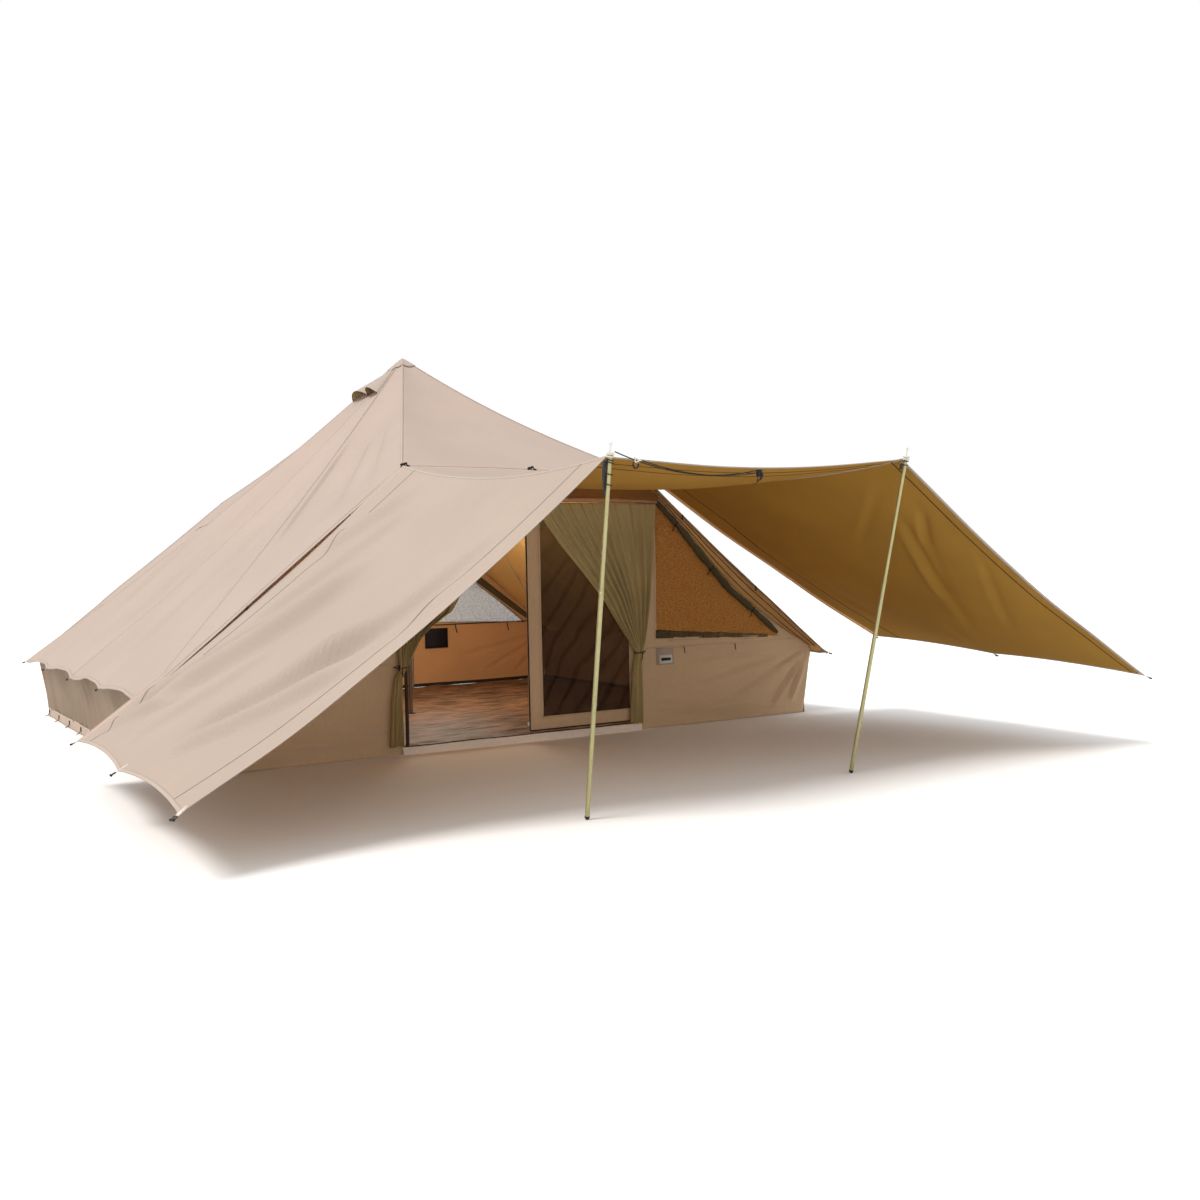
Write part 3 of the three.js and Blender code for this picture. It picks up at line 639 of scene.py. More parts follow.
def make_vent_hood(side):
    """Two arched mouths side by side, pinned to the roof between them, that narrow up to a point."""
    name, facet = f"{side}_hood", 6 if side == "left" else 2
    top_r, low_r = 0.034, 0.114
    half, rise = 0.265, 0.088
    rows, columns = 22, 61
    normal = roof_normal(facet)
    points = np.zeros((rows, columns, 3))
    for i, v in enumerate(np.linspace(0, 1, rows)):
        r = top_r + (low_r - top_r) * v
        for j, u in enumerate(np.linspace(-1, 1, columns)):
            t = 0.5 + u * half * (0.10 + 0.90 * v) / (4.9 * r)
            lift = rise * v**1.15 * abs(math.sin(math.pi * u)) ** 0.8 + 0.004
            points[i, j] = roof_point(facet, t, r * (1 + 0.10 * v * abs(u))) + normal * lift
    # the hood's inside face takes the darker door cloth: painted shade inside the hood
    hood = grid_cloth(name, points, ["roof", "curtain"], flip=True)
    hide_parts(f"vent_hood_{side}")
    trim = Parts()
    trim.tube(points[-1], 0.0035, "seam_dark", 6, normal=normal)
    for j in (0, columns // 2, columns - 1):
        trim.tube(points[:, j], 0.003, "seam", 6, normal=normal)
    binding = trim.piece(name + "_binding", "roof_canvas")


def make_eave_tabs():
    """Webbing tabs and barrel toggles at the eaves, and the toggles that close the corners."""
    parts = Parts()
    for side, facet in ((-1, 6), (1, 2)):
        for k in range(EAVE_SPANS + 1):
            tip = roof_point(facet, k / EAVE_SPANS, 1.0)
            out = unit((side * 0.9, 0, -0.45))
            if k in (0, EAVE_SPANS):
                y = -1 if (k == 0) == (side > 0) else 1
                out = unit((side * 0.75, 0.55 * y, -0.3))
            path = [tip - out * 0.05, tip - out * 0.012, tip + out * 0.004]
            parts.tube(path, [0.011, 0.011, 0.008], "pale_webbing", 8, flat=0.25)
            parts.loop(tip + out * 0.010, out * 0.010, (0, 0.008, 0), "webbing", 0.0022)
            along = (0.1, 1, 0.2) if 0 < k < EAVE_SPANS else out
            parts.toggle(tip + out * 0.020, along, length=0.034, radius=0.007)
    # hooks under the roof's front and back corner edges
    hooks = {1: (-1, 0.22, 0.62), 7: (-1, 0.38, 0.78), 3: (1, 0.3, 0.7), 5: (1, 0.3, 0.7)}
    for facet, (sign, *places) in hooks.items():
        for t in places:
            at = roof_point(facet, t, 0.998)
            parts.toggle(at + (0, sign * 0.006, -0.022), (0.2, 0.1, 1), length=0.045, radius=0.006)
            parts.loop(at + (0, sign * 0.004, -0.006), (0.004, 0, 0.010), (0.006, 0.002, 0), "webbing", 0.002)
    parts.piece("eave_toggles", "black_plastic")


# ---------------------------------------------------------------- walls and faces
def make_side_wall(side, sign, seed):
    name = f"{side}_wall"
    v = np.linspace(0, 1, 30)[:, None]
    y = np.linspace(-HALF_DEPTH + 0.006, HALF_DEPTH - 0.006, 420)[None, :]
    z = 0.002 + (WALL_TOP_Z - 0.004) * v + 0 * y
    lean = y * 9.0 + 1.2 * v * cloth_noise(y * 2, v * 2 + 3, seed + 5)
    folds = 0.0085 * cloth_noise(lean, v * 0.9 + 0 * y, seed)
    folds = folds + 0.005 * cloth_noise(lean * 2.3, v * 1.4, seed + 1)
    folds = folds + 0.0028 * cloth_noise(lean * 6.0, v * 3.0, seed + 2)
    held = ease(v / 0.16) * (0.25 + 0.75 * ease((1 - v) / 0.10))
    x = HALF_WIDTH + (WALL_TOP_X - HALF_WIDTH) * v + folds * held - 0.012 * np.sin(np.pi * v) * ease(v / 0.2)
    points = np.stack([sign * x, y + 0 * v, z], axis=-1)
    wall = grid_cloth(name, points, ["wall_side", "wall_inside"], flip=sign < 0)
    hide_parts(f"wall_{side}")
    # the skirt, a lighter band of cloth that meets the ground
    v = np.linspace(0, 1, 7)[:, None]
    x = HALF_WIDTH + 0.020 - 0.004 * v + 0.004 * cloth_noise(y * 5.0, v + 0 * y, seed + 8)
    z = 0.001 + 0.082 * v + 0.003 * cloth_noise(y * 3, v, seed + 9) * v
    points = np.stack([sign * x, y + 0 * v, z], axis=-1)
    skirt = grid_cloth(name + "_skirt", points, ["skirt", "skirt"], flip=sign < 0)
    loops = Parts()
    for k in range(9):
        at = np.array([sign * (HALF_WIDTH + 0.022), -2.24 + k * 0.56, 0.030])
        for top, middle, foot in ((-0.012, -0.004, 0), (0.016, 0.006, 0.002)):
            path = [at + (0, top, 0.035), at + (sign * 0.004, middle, 0), at + (sign * 0.016, foot, -0.016)]
            loops.strap(path, 0.006, (sign, 0, 0), flat=0.35)
        loops.loop(at + (sign * 0.024, 0, -0.018), (sign * 0.013, 0, -0.004), (0, 0.009, 0), "black", 0.0026)
    loops.piece(name + "_peg_loops", "rope")


ROLL = [(2.455, 0.725), (2.204, 0.921), (1.934, 1.115), (1.674, 1.372), (1.421, 1.640), (1.198, 1.846)]


def window_outline(sign):
    """The window: upright inner side, low sill, and a long side that follows the rolled cover."""
    w = WINDOW
    corners = [(w["in_x"], w["low_z"]), (w["out_x"] - 0.02, w["out_z"]), *ROLL, (w["in_x"], 1.850)]
    return [(sign * x, z) for x, z in corners]


def roof_line():
    """x and z where the roof's front right panels cross the plane of the front face."""
    t, r = np.meshgrid(np.linspace(0, 1, 120), np.linspace(0.85, 1, 400))
    crossing = []
    for facet in (0, 1, 2):
        grid = roof_point(facet, t, r)
        nearest = np.argmin(np.abs(grid[..., 1] + HALF_DEPTH), axis=0)
        line = grid[nearest, np.arange(120)]
        crossing += [(p[0], p[2]) for p in line if abs(p[1] + HALF_DEPTH) < 0.01]
    return np.array(sorted(crossing))


ROOF_LINE = roof_line()


def face_top(x):
    """Top of a front or back panel: it follows the roof, which sags between its corners."""
    return np.interp(np.abs(x), ROOF_LINE[:, 0], ROOF_LINE[:, 1]) - 0.008


def panel_edge(shares):
    """Points x, z along the roof, at these shares of the way from the portal to the wall."""
    places = [PORTAL_X + (WALL_TOP_X - PORTAL_X) * share for share in shares]
    return [(x, float(face_top(x))) for x in places]


CORNER_FOLDS = [                                # foot and height of the tension folds from the eave corner
    ((1.50, 0.30), 0.022), ((1.85, 0.12), 0.024), ((2.15, 0.20), 0.030),
    ((2.35, 0.04), 0.030), ((2.58, 0.08), 0.034), ((1.40, 0.50), 0.018),
]
LOW_FOLDS = [                                   # ends and height of the long folds above the ground
    ((1.05, 0.16), (2.2, 0.10), 0.026), ((1.02, 0.10), (1.9, 0.13), 0.026),
    ((1.3, 0.19), (2.6, 0.08), 0.0208), ((1.04, 0.22), (1.6, 0.16), 0.0234),
    ((1.02, 0.06), (1.5, 0.05), 0.0208), ((1.7, 0.05), (2.68, 0.12), 0.026),
]


def make_front_face(side, sign):
    """A front panel with its window."""
    jamb = [(DOOR_HALF, 0.0035)] if sign > 0 else [(DOOR_HALF, 1.10), (1.085, 0.98), (1.085, 0.0035)]
    half = [*jamb, (HALF_WIDTH - 0.006, 0.0035), (WALL_TOP_X - 0.006, WALL_TOP_Z - 0.010),
            *panel_edge((0.85, 0.7, 0.55, 0.4, 0.25, 0.12, 0)), (DOOR_HALF, float(face_top(PORTAL_X)))]
    seed = 70 + sign

    def place(x, z):
        a = np.abs(x)
        out = 0.004 * cloth_noise(a * 5.0, z * 4.0, seed) + 0.002 * cloth_noise(a * 14.0, z * 10.0, seed + 1)
        for foot, height in CORNER_FOLDS:
            out = out + crease(a, z, (2.84, 0.57), foot, 0.022, height, 0.25)
        for start, end, height in LOW_FOLDS:
            out = out + crease(a, z, start, end, 0.015, height)
        out = out + crease(a, z, (1.15, 0.655), (2.6, 0.665), 0.012, 0.006, 0.1)
        held = ease(edge_distance(np.stack([a, z], 1), half) / 0.10)
        return np.stack([x, -HALF_DEPTH - out * (0.15 + 0.85 * held), z], axis=1)

    outline = [(sign * x, z) for x, z in half]
    name = f"front_{side}_face"
    face = pattern_cloth(name, outline, [window_outline(sign)], 0.026, place, ["wall", "wall_inside"])
    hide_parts(f"front_{side}_panel")
    parts, on_face = face_trim(sign, -1, place, "wall", "webbing")
    add_roll(parts, on_face, sign)
    if sign > 0:                                  # the label patch beside the door
        for x, low, high, count, lift, width, material in (
            (1.25, 0.515, 0.655, 8, 0.004, 0.170, "skirt"), (1.255, 0.525, 0.595, 6, 0.007, 0.130, "label"),
            (1.255, 0.548, 0.572, 3, 0.009, 0.095, "black"),
        ):
            path = on_face(straight((x, low), (x, high), count), lift)
            parts.band(path, (0, -1, 0), width, 0.003, material)
    parts.piece(f"front_{side}_window_trim", "wall_canvas")
    make_window(f"front_{side}", sign, -HALF_DEPTH, "window_net")
    make_window_band(f"front_{side}_mesh", sign)


def face_trim(sign, out, place, binding, tie):
    """Window binding, the seam below it and its two ties, on a face that looks along out."""
    parts = Parts()

    def on_face(points, lift):
        points = np.array(points, float)
        return place(points[:, 0], points[:, 1]) + (0, out * lift, 0)

    normal = (0, out, 0)
    corners = window_outline(sign)
    for a, b in zip(corners, corners[1:] + corners[:1]):
        parts.band(on_face(straight(a, b, 30), 0.0), normal, 0.016, 0.005, binding)
    seam = straight((sign * 1.03, 0.655), (sign * 2.74, 0.660), 90)
    parts.band(on_face(seam, 0.002), normal, 0.010, 0.004, binding)
    for x in (1.44, 1.98):
        top = on_face([(sign * x, 0.655)], 0.006)[0]
        drop = [top, top + (0.006 * sign, 0, -0.022), top + (0.010 * sign, 0, -0.055)]
        parts.strap(drop, normal=normal, material=tie)
    return parts, on_face


def add_roll(parts, on_face, sign):
    """The window's rolled cover along its sloping side, with three ties."""
    normal = np.array([0, -1.0, 0])
    t = np.linspace(0, 1, 80)
    path = on_face(by_length(ROLL[::-1], t) * (sign, 1), 0.012)
    girth = 0.017 + 0.012 * np.sin(np.pi * t) ** 0.7 + 0.004 * cloth_noise(t * 26, t * 0 + 2.0, 71)
    ties = (0.16, 0.46, 0.80)
    for tie in ties:
        girth = girth - 0.009 * np.exp(-((t - tie) / 0.022) ** 2)
    parts.tube(path, girth, "roll", 12, flat=0.62, normal=normal)
    for tie in ties:
        k = int(tie * 79)
        across = np.cross(unit(path[k + 1] - path[k - 1]), normal)
        parts.loop(path[k], across * (girth[k] + 0.004), normal * 0.016, "webbing", 0.004)
        tail = path[k] - across * math.copysign(0.03, across[2])
        path_down = [tail, tail + (-0.010 * sign, -0.008, -0.022), tail + (-0.028 * sign, -0.006, -0.040)]
        parts.strap(path_down, normal=normal)


def make_window(name, sign, y, material):
    """The net of one window; y is the face that it is sewn to."""
    inset = math.copysign(0.004, y)

    def place(x, z):
        return np.stack([x, np.full_like(x, y - inset) + 0.004 * cloth_noise(x * 3, z * 3, 81), z], axis=1)

    mesh = pattern_cloth(name + "_mesh", window_outline(sign), [], 0.06, place, [material],
                         thickness=0.0008)
    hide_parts(name + "_window")


def make_window_band(name, sign):
    """The dark gathered band along a front window's sill."""
    t = np.linspace(0, 1, 60)
    low = np.stack([sign * (WINDOW["in_x"] + (WINDOW["out_x"] - WINDOW["in_x"] - 0.16) * t),
                    WINDOW["low_z"] + (WINDOW["out_z"] - WINDOW["low_z"]) * t], 1)
    high = low + np.stack([0 * t, 0.070 - 0.048 * t + 0.004 * cloth_noise(t * 20, t * 0, 83)], 1)
    rows = []
    for i, share in enumerate((0, 0.34, 0.67, 1)):
        x, z = (low * (1 - share) + high * share).T
        rows.append(np.stack([x, -HALF_DEPTH - 0.002 + 0.003 * np.sin(9 * i + 14 * x), z], axis=1))
    strip = grid_cloth(name + "_band", np.array(rows), ["window_band", "window_band"], flip=sign < 0)


FLAP_EDGE = [(1.130, 1.935), (1.243, 1.850), (1.522, 1.587), (1.789, 1.308),
             (2.010, 1.108), (2.260, 0.927), (2.506, 0.769), (2.770, 0.624)]


def make_edge_flap(name, sign, out):
    """The doubled cloth under the roof's sloping edge, with its stitched lines."""
    t = np.linspace(0.035, 0.955, 90)
    edge = roof_point(1, t, 0.994)
    share = (t - t[0]) / (t[-1] - t[0])
    low_x, low_z = by_length(FLAP_EDGE, share).T
    low = np.stack([low_x, np.full_like(low_x, -HALF_DEPTH - 0.022), low_z], axis=1)
    rows = []
    for v in np.linspace(0, 1, 9):
        row = edge * (1 - v) + low * v
        row[:, 2] -= 0.006 + 0.012 * math.sin(math.pi * v)
        row[:, 1] -= 0.004 * cloth_noise(share * 14, share * 0 + v * 3, 93)
        rows.append(row * (sign, -out, 1))
    points = np.array(rows)
    flap = grid_cloth(name + "_edge_flap", points, ["flap", "flap"], thickness=0.0012)
    trim = Parts()
    for k in (2, 5):
        trim.band(points[k] + (0, out * 0.003, -0.001), (0, out, -0.4), 0.006, 0.003, "seam_dark")
    lines = trim.piece(name + "_edge_stitching", "roof_canvas")


def make_lintel():
    v = np.linspace(0, 1, 16)[:, None]
    x = np.linspace(-1.200, 1.200, 120)[None, :]
    z = DOOR_TOP + (np.minimum(face_top(PORTAL_X), face_top(x)) - DOOR_TOP) * v
    y = -HALF_DEPTH - 0.010 - 0.010 * np.sin(np.pi * v) + 0.006 * cloth_noise(x * 2.0, v * 5.0, 91)
    y = y + crease(x, z, (-0.9, DOOR_TOP + 0.10), (0.9, DOOR_TOP + 0.13), 0.012, 0.010)
    points = np.stack([x + 0 * v, y, z], axis=-1)
    cloth = grid_cloth("lintel", points, ["lintel", "wall_inside"])
    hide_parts("front_lintel")
    trim = Parts()
    # the lintel's hem takes the same bright orange painted glow
    trim.band(points[1] + (0, -0.003, 0.004), (0, -1, 0), 0.030, 0.004, "hem_under")
    trim.piece("lintel_hem", "wall_canvas")


# ---------------------------------------------------------------- door
CURTAINS = {                                    # height, then x of the inner and outer edge
    "right": [
        (0.068, 0.880, 0.990), (0.30, 0.900, 0.990), (0.50, 0.915, 0.985), (0.636, 0.945, 0.990),
        (0.712, 0.893, 1.020), (0.837, 0.800, 1.050), (1.067, 0.644, 1.090), (1.309, 0.436, 1.120),
        (1.507, 0.258, 1.140), (1.700, 0.112, 1.158), (1.834, 0.020, 1.165),
    ],
    "left": [
        (0.068, 1.080, 1.185), (0.40, 1.090, 1.165), (0.56, 1.085, 1.140), (0.640, 1.045, 1.100),
        (0.740, 0.985, 1.105), (0.832, 0.925, 1.110), (0.914, 0.835, 1.115), (0.975, 0.745, 1.118),
        (1.022, 0.670, 1.120), (1.20, 0.560, 1.120), (1.50, 0.440, 1.120), (1.834, 0.330, 1.120),
    ],
}


def make_curtain(side, sign, flat_width, tie_z, seed):
    """Door cloth hung under the lintel, drawn to a tie on the jamb, and falling from there in a bundle."""
    name = f"{side}_curtain"
    heights, inners, outers = np.array(CURTAINS[side]).T
    folds = 10
    rows, columns = 120, 300
    u = np.linspace(0, 1, columns)
    points = np.zeros((rows, columns, 3))
    for i, v in enumerate(np.linspace(0, 1, rows)):
        z = heights[-1] + (heights[0] - heights[-1]) * v
        inner, outer = np.interp(z, heights, inners), np.interp(z, heights, outers)
        width = outer - inner
        depth = min(math.sqrt(max(flat_width**2 - width**2, 0.03)) / (4 * folds), 0.0215)
        drift = 0.05 * cloth_noise(u * 3, np.full_like(u, v * 2.0), seed)
        phase = 2 * math.pi * folds * (u + drift * np.sin(np.pi * u))
        uneven = 1 + 0.45 * cloth_noise(u * folds * 0.6, np.full_like(u, v * 1.3), seed + 1)
        pleat = np.sin(phase) + 0.35 * np.sin(2 * phase + 1.1)
        points[i, :, 0] = sign * (inner + width * u + 0.004 * np.sin(phase + 1.6))
        points[i, :, 1] = np.clip(-2.349 + depth * pleat * uneven * 0.85, -2.376, -2.324)
        points[i, :, 2] = z + 0.010 * cloth_noise(u * 4, u * 0 + v * 3, seed + 2) * ease(v / 0.1)
    cloth = grid_cloth(name, points, ["curtain", "curtain"], flip=sign > 0, thickness=0.001)
    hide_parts(f"curtain_{side}")
    ties = Parts()
    knot = np.array([sign * np.interp(tie_z, heights, (inners + outers) / 2), -2.349, tie_z])
    ties.loop(knot, (0.030, 0, 0.006), (0, 0.028, 0.004), "webbing", 0.0045, 20)
    ties.toggle(knot + (sign * 0.036, -0.012, -0.006), (0.25, 0.2, 1), length=0.040, radius=0.008)
    for radius, path in (
        (0.0045, ((0.030, -0.010, 0), (0.055, -0.004, -0.006), (0.075, 0.006, 0.004))),
        (0.0035, ((0.020, -0.026, -0.004), (0.024, -0.030, -0.035), (0.015, -0.027, -0.070))),
    ):
        ties.tube(knot + np.array(path) * (sign, 1, 1), radius, "webbing")
    ties.piece(name + "_tie", "black_plastic")


def box_corners(low, high):
    """The corners of a rectangle, in order."""
    return [low, (high[0], low[1]), high, (low[0], high[1])]


def make_door_leaf():
    left, right, low, high, leaf_y = (LEAF[key] for key in ("left", "right", "low", "high", "y"))
    x0, x1 = left + LEAF_BORDER["left"], right - LEAF_BORDER["right"]
    z0, z1 = low + LEAF_BORDER["low"], high - LEAF_BORDER["high"]

    def place(x, z):
        out = 0.003 * cloth_noise(x * 9, z * 4, 101) + 0.0015 * cloth_noise(x * 30, z * 18, 102)
        for start, end in (((0.0, 0.10), (0.06, 0.42)), ((0.02, 0.60), (0.06, 0.95)),
                           ((0.1, 0.10), (0.55, 0.16)), ((0.45, 0.09), (0.92, 0.17)),
                           ((-0.01, 1.1), (0.07, 1.5))):
            out = out + crease(x, z, start, end, 0.012, 0.007)
        return np.stack([x, leaf_y - out, z], axis=1)

    opening = box_corners((x0, z0), (x1, z1))
    border = pattern_cloth("door_border", box_corners((left, low), (right, high)), [opening],
                           0.020, place, ["wall", "wall_inside"], body="mesh_door")
    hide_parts("mesh_door_frame")

    def place_net(x, z):
        out = 0.006 * cloth_noise(x * 3 + z * 2.2, z * 1.1, 103)
        for k in range(6):
            foot, top = (0.10 + 0.09 * k, 0.18), (0.32 + 0.12 * k, 0.62 + 0.06 * k)
            out = out + crease(x, z, foot, top, 0.012, 0.008)
        return np.stack([x, leaf_y + 0.002 - out, z], axis=1)

    grow = 0.004                                  # the net reaches under its border
    mesh = pattern_cloth("door_mesh", box_corners((x0 - grow, z0 - grow), (x1 + grow, z1 + grow)), [],
                         0.022, place_net, ["door_net"], "mesh_door", 0.0006)
    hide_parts("mesh_door_net")
    trim = Parts()
    y = leaf_y - 0.006
    zip_path = np.concatenate([
        straight((left + 0.005, y, high - 0.01), (left + 0.005, y, low + 0.012), 60),
        straight((left + 0.012, y, low + 0.006), (right - 0.01, y, low + 0.006), 60),
    ])
    trim.tube(zip_path, 0.0055, "webbing", flat=0.6, normal=(0, 1, 0))
    trim.toggle((right - 0.02, y - 0.004, low + 0.020), (0, 0.1, 1), 0.05, 0.010)
    for a, b in (((x0, z0), (x0, z1)), ((x0, z0), (x1, z0)), ((x1, z0), (x1, z1)), ((x0, z1), (x1, z1))):
        trim.band(place(*straight(a, b, 70).T) + (0, -0.0015, 0), (0, -1, 0), 0.016, 0.004, "wall")
    trim.piece("door_zip_and_binding", "black_plastic", "mesh_door")


def make_sill():
    v = np.linspace(0, 1, 10)[:, None]
    x = np.linspace(-1.085, 0.996, 140)[None, :]
    y = -2.345 + 0.012 * v + 0.003 * cloth_noise(x * 4, v * 2, 111)
    z = 0.003 + 0.055 * v + 0.0025 * cloth_noise(x * 3, v, 112)
    cloth = grid_cloth("sill_cloth", np.stack([x + 0 * v, y, z], axis=-1), ["sill", "wall_inside"])
    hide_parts("door_sill")
    zip_line = Parts()
    x = np.linspace(-1.08, 0.99, 100)
    zip_line.tube(np.stack([x, 0 * x - 2.331, 0.062 + 0.002 * np.sin(9 * x)], 1), 0.0060, "webbing", flat=0.7)
    zip_line.piece("sill_zip", "black_plastic")


# ---------------------------------------------------------------- inside
def make_groundsheet():
    half_x, half_y = 2.715, 2.285
    y = np.linspace(-half_y, half_y, 230)[:, None]
    x = np.linspace(-half_x, half_x, 240)[None, :]
    turn = math.radians(14)                       # the way that the long wrinkles run
    along, across = x * math.cos(turn) + y * math.sin(turn), y * math.cos(turn) - x * math.sin(turn)
    across = across + 0.25 * cloth_noise(along * 0.9, across * 0.9, 125)
    lift = 0.016 * np.abs(cloth_noise(along * 1.1, across * 6.0, 121)) ** 1.3
    lift = lift + 0.011 * np.abs(cloth_noise(along * 2.6, across * 13.0, 122))
    lift = lift + 0.010 * np.abs(cloth_noise(x * 4.0 + y, y * 4.0 - x, 123))
    lift = lift + 0.003 * cloth_noise(x * 14, y * 14, 124)
    keep = ease(np.minimum(half_x - np.abs(x), half_y - np.abs(y)) / 0.10)
    feet = [(0, 0, 0.10)] + [(px, py, 0.06) for py in (-2.29, 2.29) for px in (-1.03, 1.03)]
    for px, py, clear in feet:                    # the cloth lies flat round each pole's foot
        keep = keep * ease((np.hypot(x - px, y - py) - clear) / 0.12)
    points = np.stack([x + 0 * y, y + 0 * x, 0.0024 + lift * keep], axis=-1)
    sheet = grid_cloth("ground_cloth", points, ["floor", "floor"], thickness=0.001)
    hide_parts("groundsheet")
    edge = Parts()                                # the turned-up rim of the sheet, along the walls
    t = np.linspace(0, 1, 60)
    for a, b in (((-2.70, 2.288), (2.70, 2.288)), ((-2.728, -2.27), (-2.728, 2.27)),
                 ((2.728, -2.27), (2.728, 2.27)), ((1.10, -2.300), (2.70, -2.300)),
                 ((-2.70, -2.300), (-1.10, -2.300))):
        path = straight((*a, 0), (*b, 0), 60)
        path[:, 2] = 0.026 + 0.005 * cloth_noise(t * 7, t * 0, 127)
        edge.tube(path, 0.019, "webbing", flat=0.32, normal=unit((b[1] - a[1], a[0] - b[0], 0)))
    rim = edge.piece("ground_cloth_rim", "groundsheet")


def make_back():
    half = [(HALF_WIDTH - 0.006, 0.0035), (WALL_TOP_X - 0.006, WALL_TOP_Z - 0.01),
            *panel_edge((0.85, 0.7, 0.55, 0.4, 0.25, 0.12, 0))]
    outline = [(-half[0][0], half[0][1]), *half, *((-x, z) for x, z in half[:0:-1])]

    def place(x, z):
        out = 0.005 * cloth_noise(x * 4.0, z * 4.0, 131) + 0.002 * cloth_noise(x * 12.0, z * 9.0, 132)
        for end in ((1.50, 0.30), (1.9, 0.12), (2.3, 0.05)):
            out = out + crease(np.abs(x), z, (2.84, 0.57), end, 0.020, 0.011, 0.25)
        held = ease(edge_distance(np.stack([x, z], 1), outline) / 0.10)
        return np.stack([x, HALF_DEPTH - 0.002 + out * (0.2 + 0.8 * held), z], axis=1)

    holes = [window_outline(-1), window_outline(1)]
    piece = pattern_cloth("back_face", outline, holes, 0.030, place, ["wall_back", "wall_inside"])
    piece.data.flip_normals()
    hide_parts("back_panel")
    inward = (0, -1, 0)
    for sign, side in ((-1, "left"), (1, "right")):
        parts, on_face = face_trim(sign, 1, place, "wall_back", "curtain")
        seam = straight((sign * 1.1, 0.70), (sign * 2.62, 0.70), 60)
        parts.band(on_face(seam, -0.006), inward, 0.012, 0.004, "seam_dark")
        for x in (1.58, 2.26):
            top = on_face([(sign * x, 0.70)], -0.010)[0]
            drop = [(0, 0, 0), (0.004, -0.004, -0.035), (0.016, -0.003, -0.085), (0.028, 0, -0.100)]
            parts.strap(top + np.array(drop), 0.006, inward)
        # the window's rolled cover
        t = np.linspace(0, 1, 60)
        spine = straight((sign * 1.15, 1.80), (sign * 2.55, 0.745), 60)
        spine[:, 1] -= 0.03 * np.sin(np.pi * t)
        girth = 0.028 + 0.010 * np.sin(np.pi * t)
        parts.tube(on_face(spine, -0.016), girth, "roll", 12, flat=0.5, normal=inward)
        parts.piece(f"back_{side}_window_trim", "wall_canvas")
        make_window(f"back_{side}", sign, HALF_DEPTH - 0.002, "back_net")
    door = Parts()                                # the closed back door's arched zip
    t = np.linspace(0, math.pi, 60)
    arch = np.stack([0.62 * np.cos(t), 0.75 + 0.95 * np.sin(t) ** 0.8], 1)
    arch = np.concatenate([[(0.62, 0.10)], arch, [(-0.62, 0.10)]])
    for lift in (-0.006, 0.006):
        door.strap(place(*arch.T) + (0, lift, 0), 0.009, (0, 1, 0))
    door.piece("back_door_zip", "black_plastic")
    port = Parts()
    low, high = (1.20, 0.44), (1.48, 0.66)
    for y in (HALF_DEPTH - 0.016, HALF_DEPTH + 0.014):
        path = straight((1.34, y, low[1]), (1.34, y, high[1]), 8)
        port.band(path, (0, 1, 0), high[0] - low[0], 0.004, "cable_port")
        rim = [(x, y, z) for x, z in box_corners(low, high)]
        port.tube(rim, 0.004, "webbing", 6, normal=(0, 1, 0), closed=True)
    port.piece("cable_port", "wall_canvas")


# ---------------------------------------------------------------- canopy
WING_SAG = {"left": (0.060, 0.190, 0.020), "right": (0.040, 0.060, 0.060)}    # at the back, front and middle
CENTRE_SAG = (0.0, 0.045, 0.040)
FRONT_CUT = {"left": 0.10, "right": 0.0}        # how far the front hem is cut in, as a share of the depth
HEM_ROWS = 3                                    # rows of the canopy's cloth that its back hem doubles
WING_FOLDS = {                                  # ends, in shares of the span and depth, then width and height
    "left": [
        ((0.92, 0.12), (0.18, 0.38), 0.080, 0.0728), ((0.96, 0.04), (0.40, 0.25), 0.045, 0.0476),
        ((0.90, 0.50), (0.36, 0.72), 0.055, 0.0588), ((0.66, 0.60), (0.08, 0.84), 0.055, 0.0448),
        ((0.98, 0.56), (0.46, 0.80), 0.055, 0.0476), ((0.72, 0.68), (0.14, 0.92), 0.045, 0.0168),
        ((0.99, 0.30), (0.50, 0.38), 0.050, 0.0308), ((0.34, 0.04), (0.02, 0.22), 0.060, 0.0420),
        ((0.60, 0.10), (0.05, 0.30), 0.050, 0.0336), ((0.995, 0.02), (0.70, 0.30), 0.040, 0.0308),
    ],
    "right": [
        ((0.16, 0.86), (0.60, 0.68), 0.040, 0.034), ((0.16, 0.93), (0.32, 0.82), 0.030, 0.022),
        ((0.04, 0.97), (0.95, 0.52), 0.050, 0.012), ((0.02, 0.10), (0.92, 0.26), 0.070, 0.014),
        ((0.70, 0.55), (0.99, 0.47), 0.060, 0.014), ((0.05, 0.90), (0.30, 0.60), 0.040, 0.010),
        ((0.30, 0.98), (0.80, 0.74), 0.040, 0.010),
    ],
}


def canopy_corner(side):
    return np.array(POLE_TOP[side]) + CANOPY_INBOARD


def blend_points(back, front, s, v):
    s, v = np.asarray(s, float)[..., None], np.asarray(v, float)[..., None]
    rear = np.array(back[0]) * (1 - s) + np.array(back[1]) * s
    fore = np.array(front[0]) * (1 - s) + np.array(front[1]) * s
    return rear * (1 - v) + fore * v


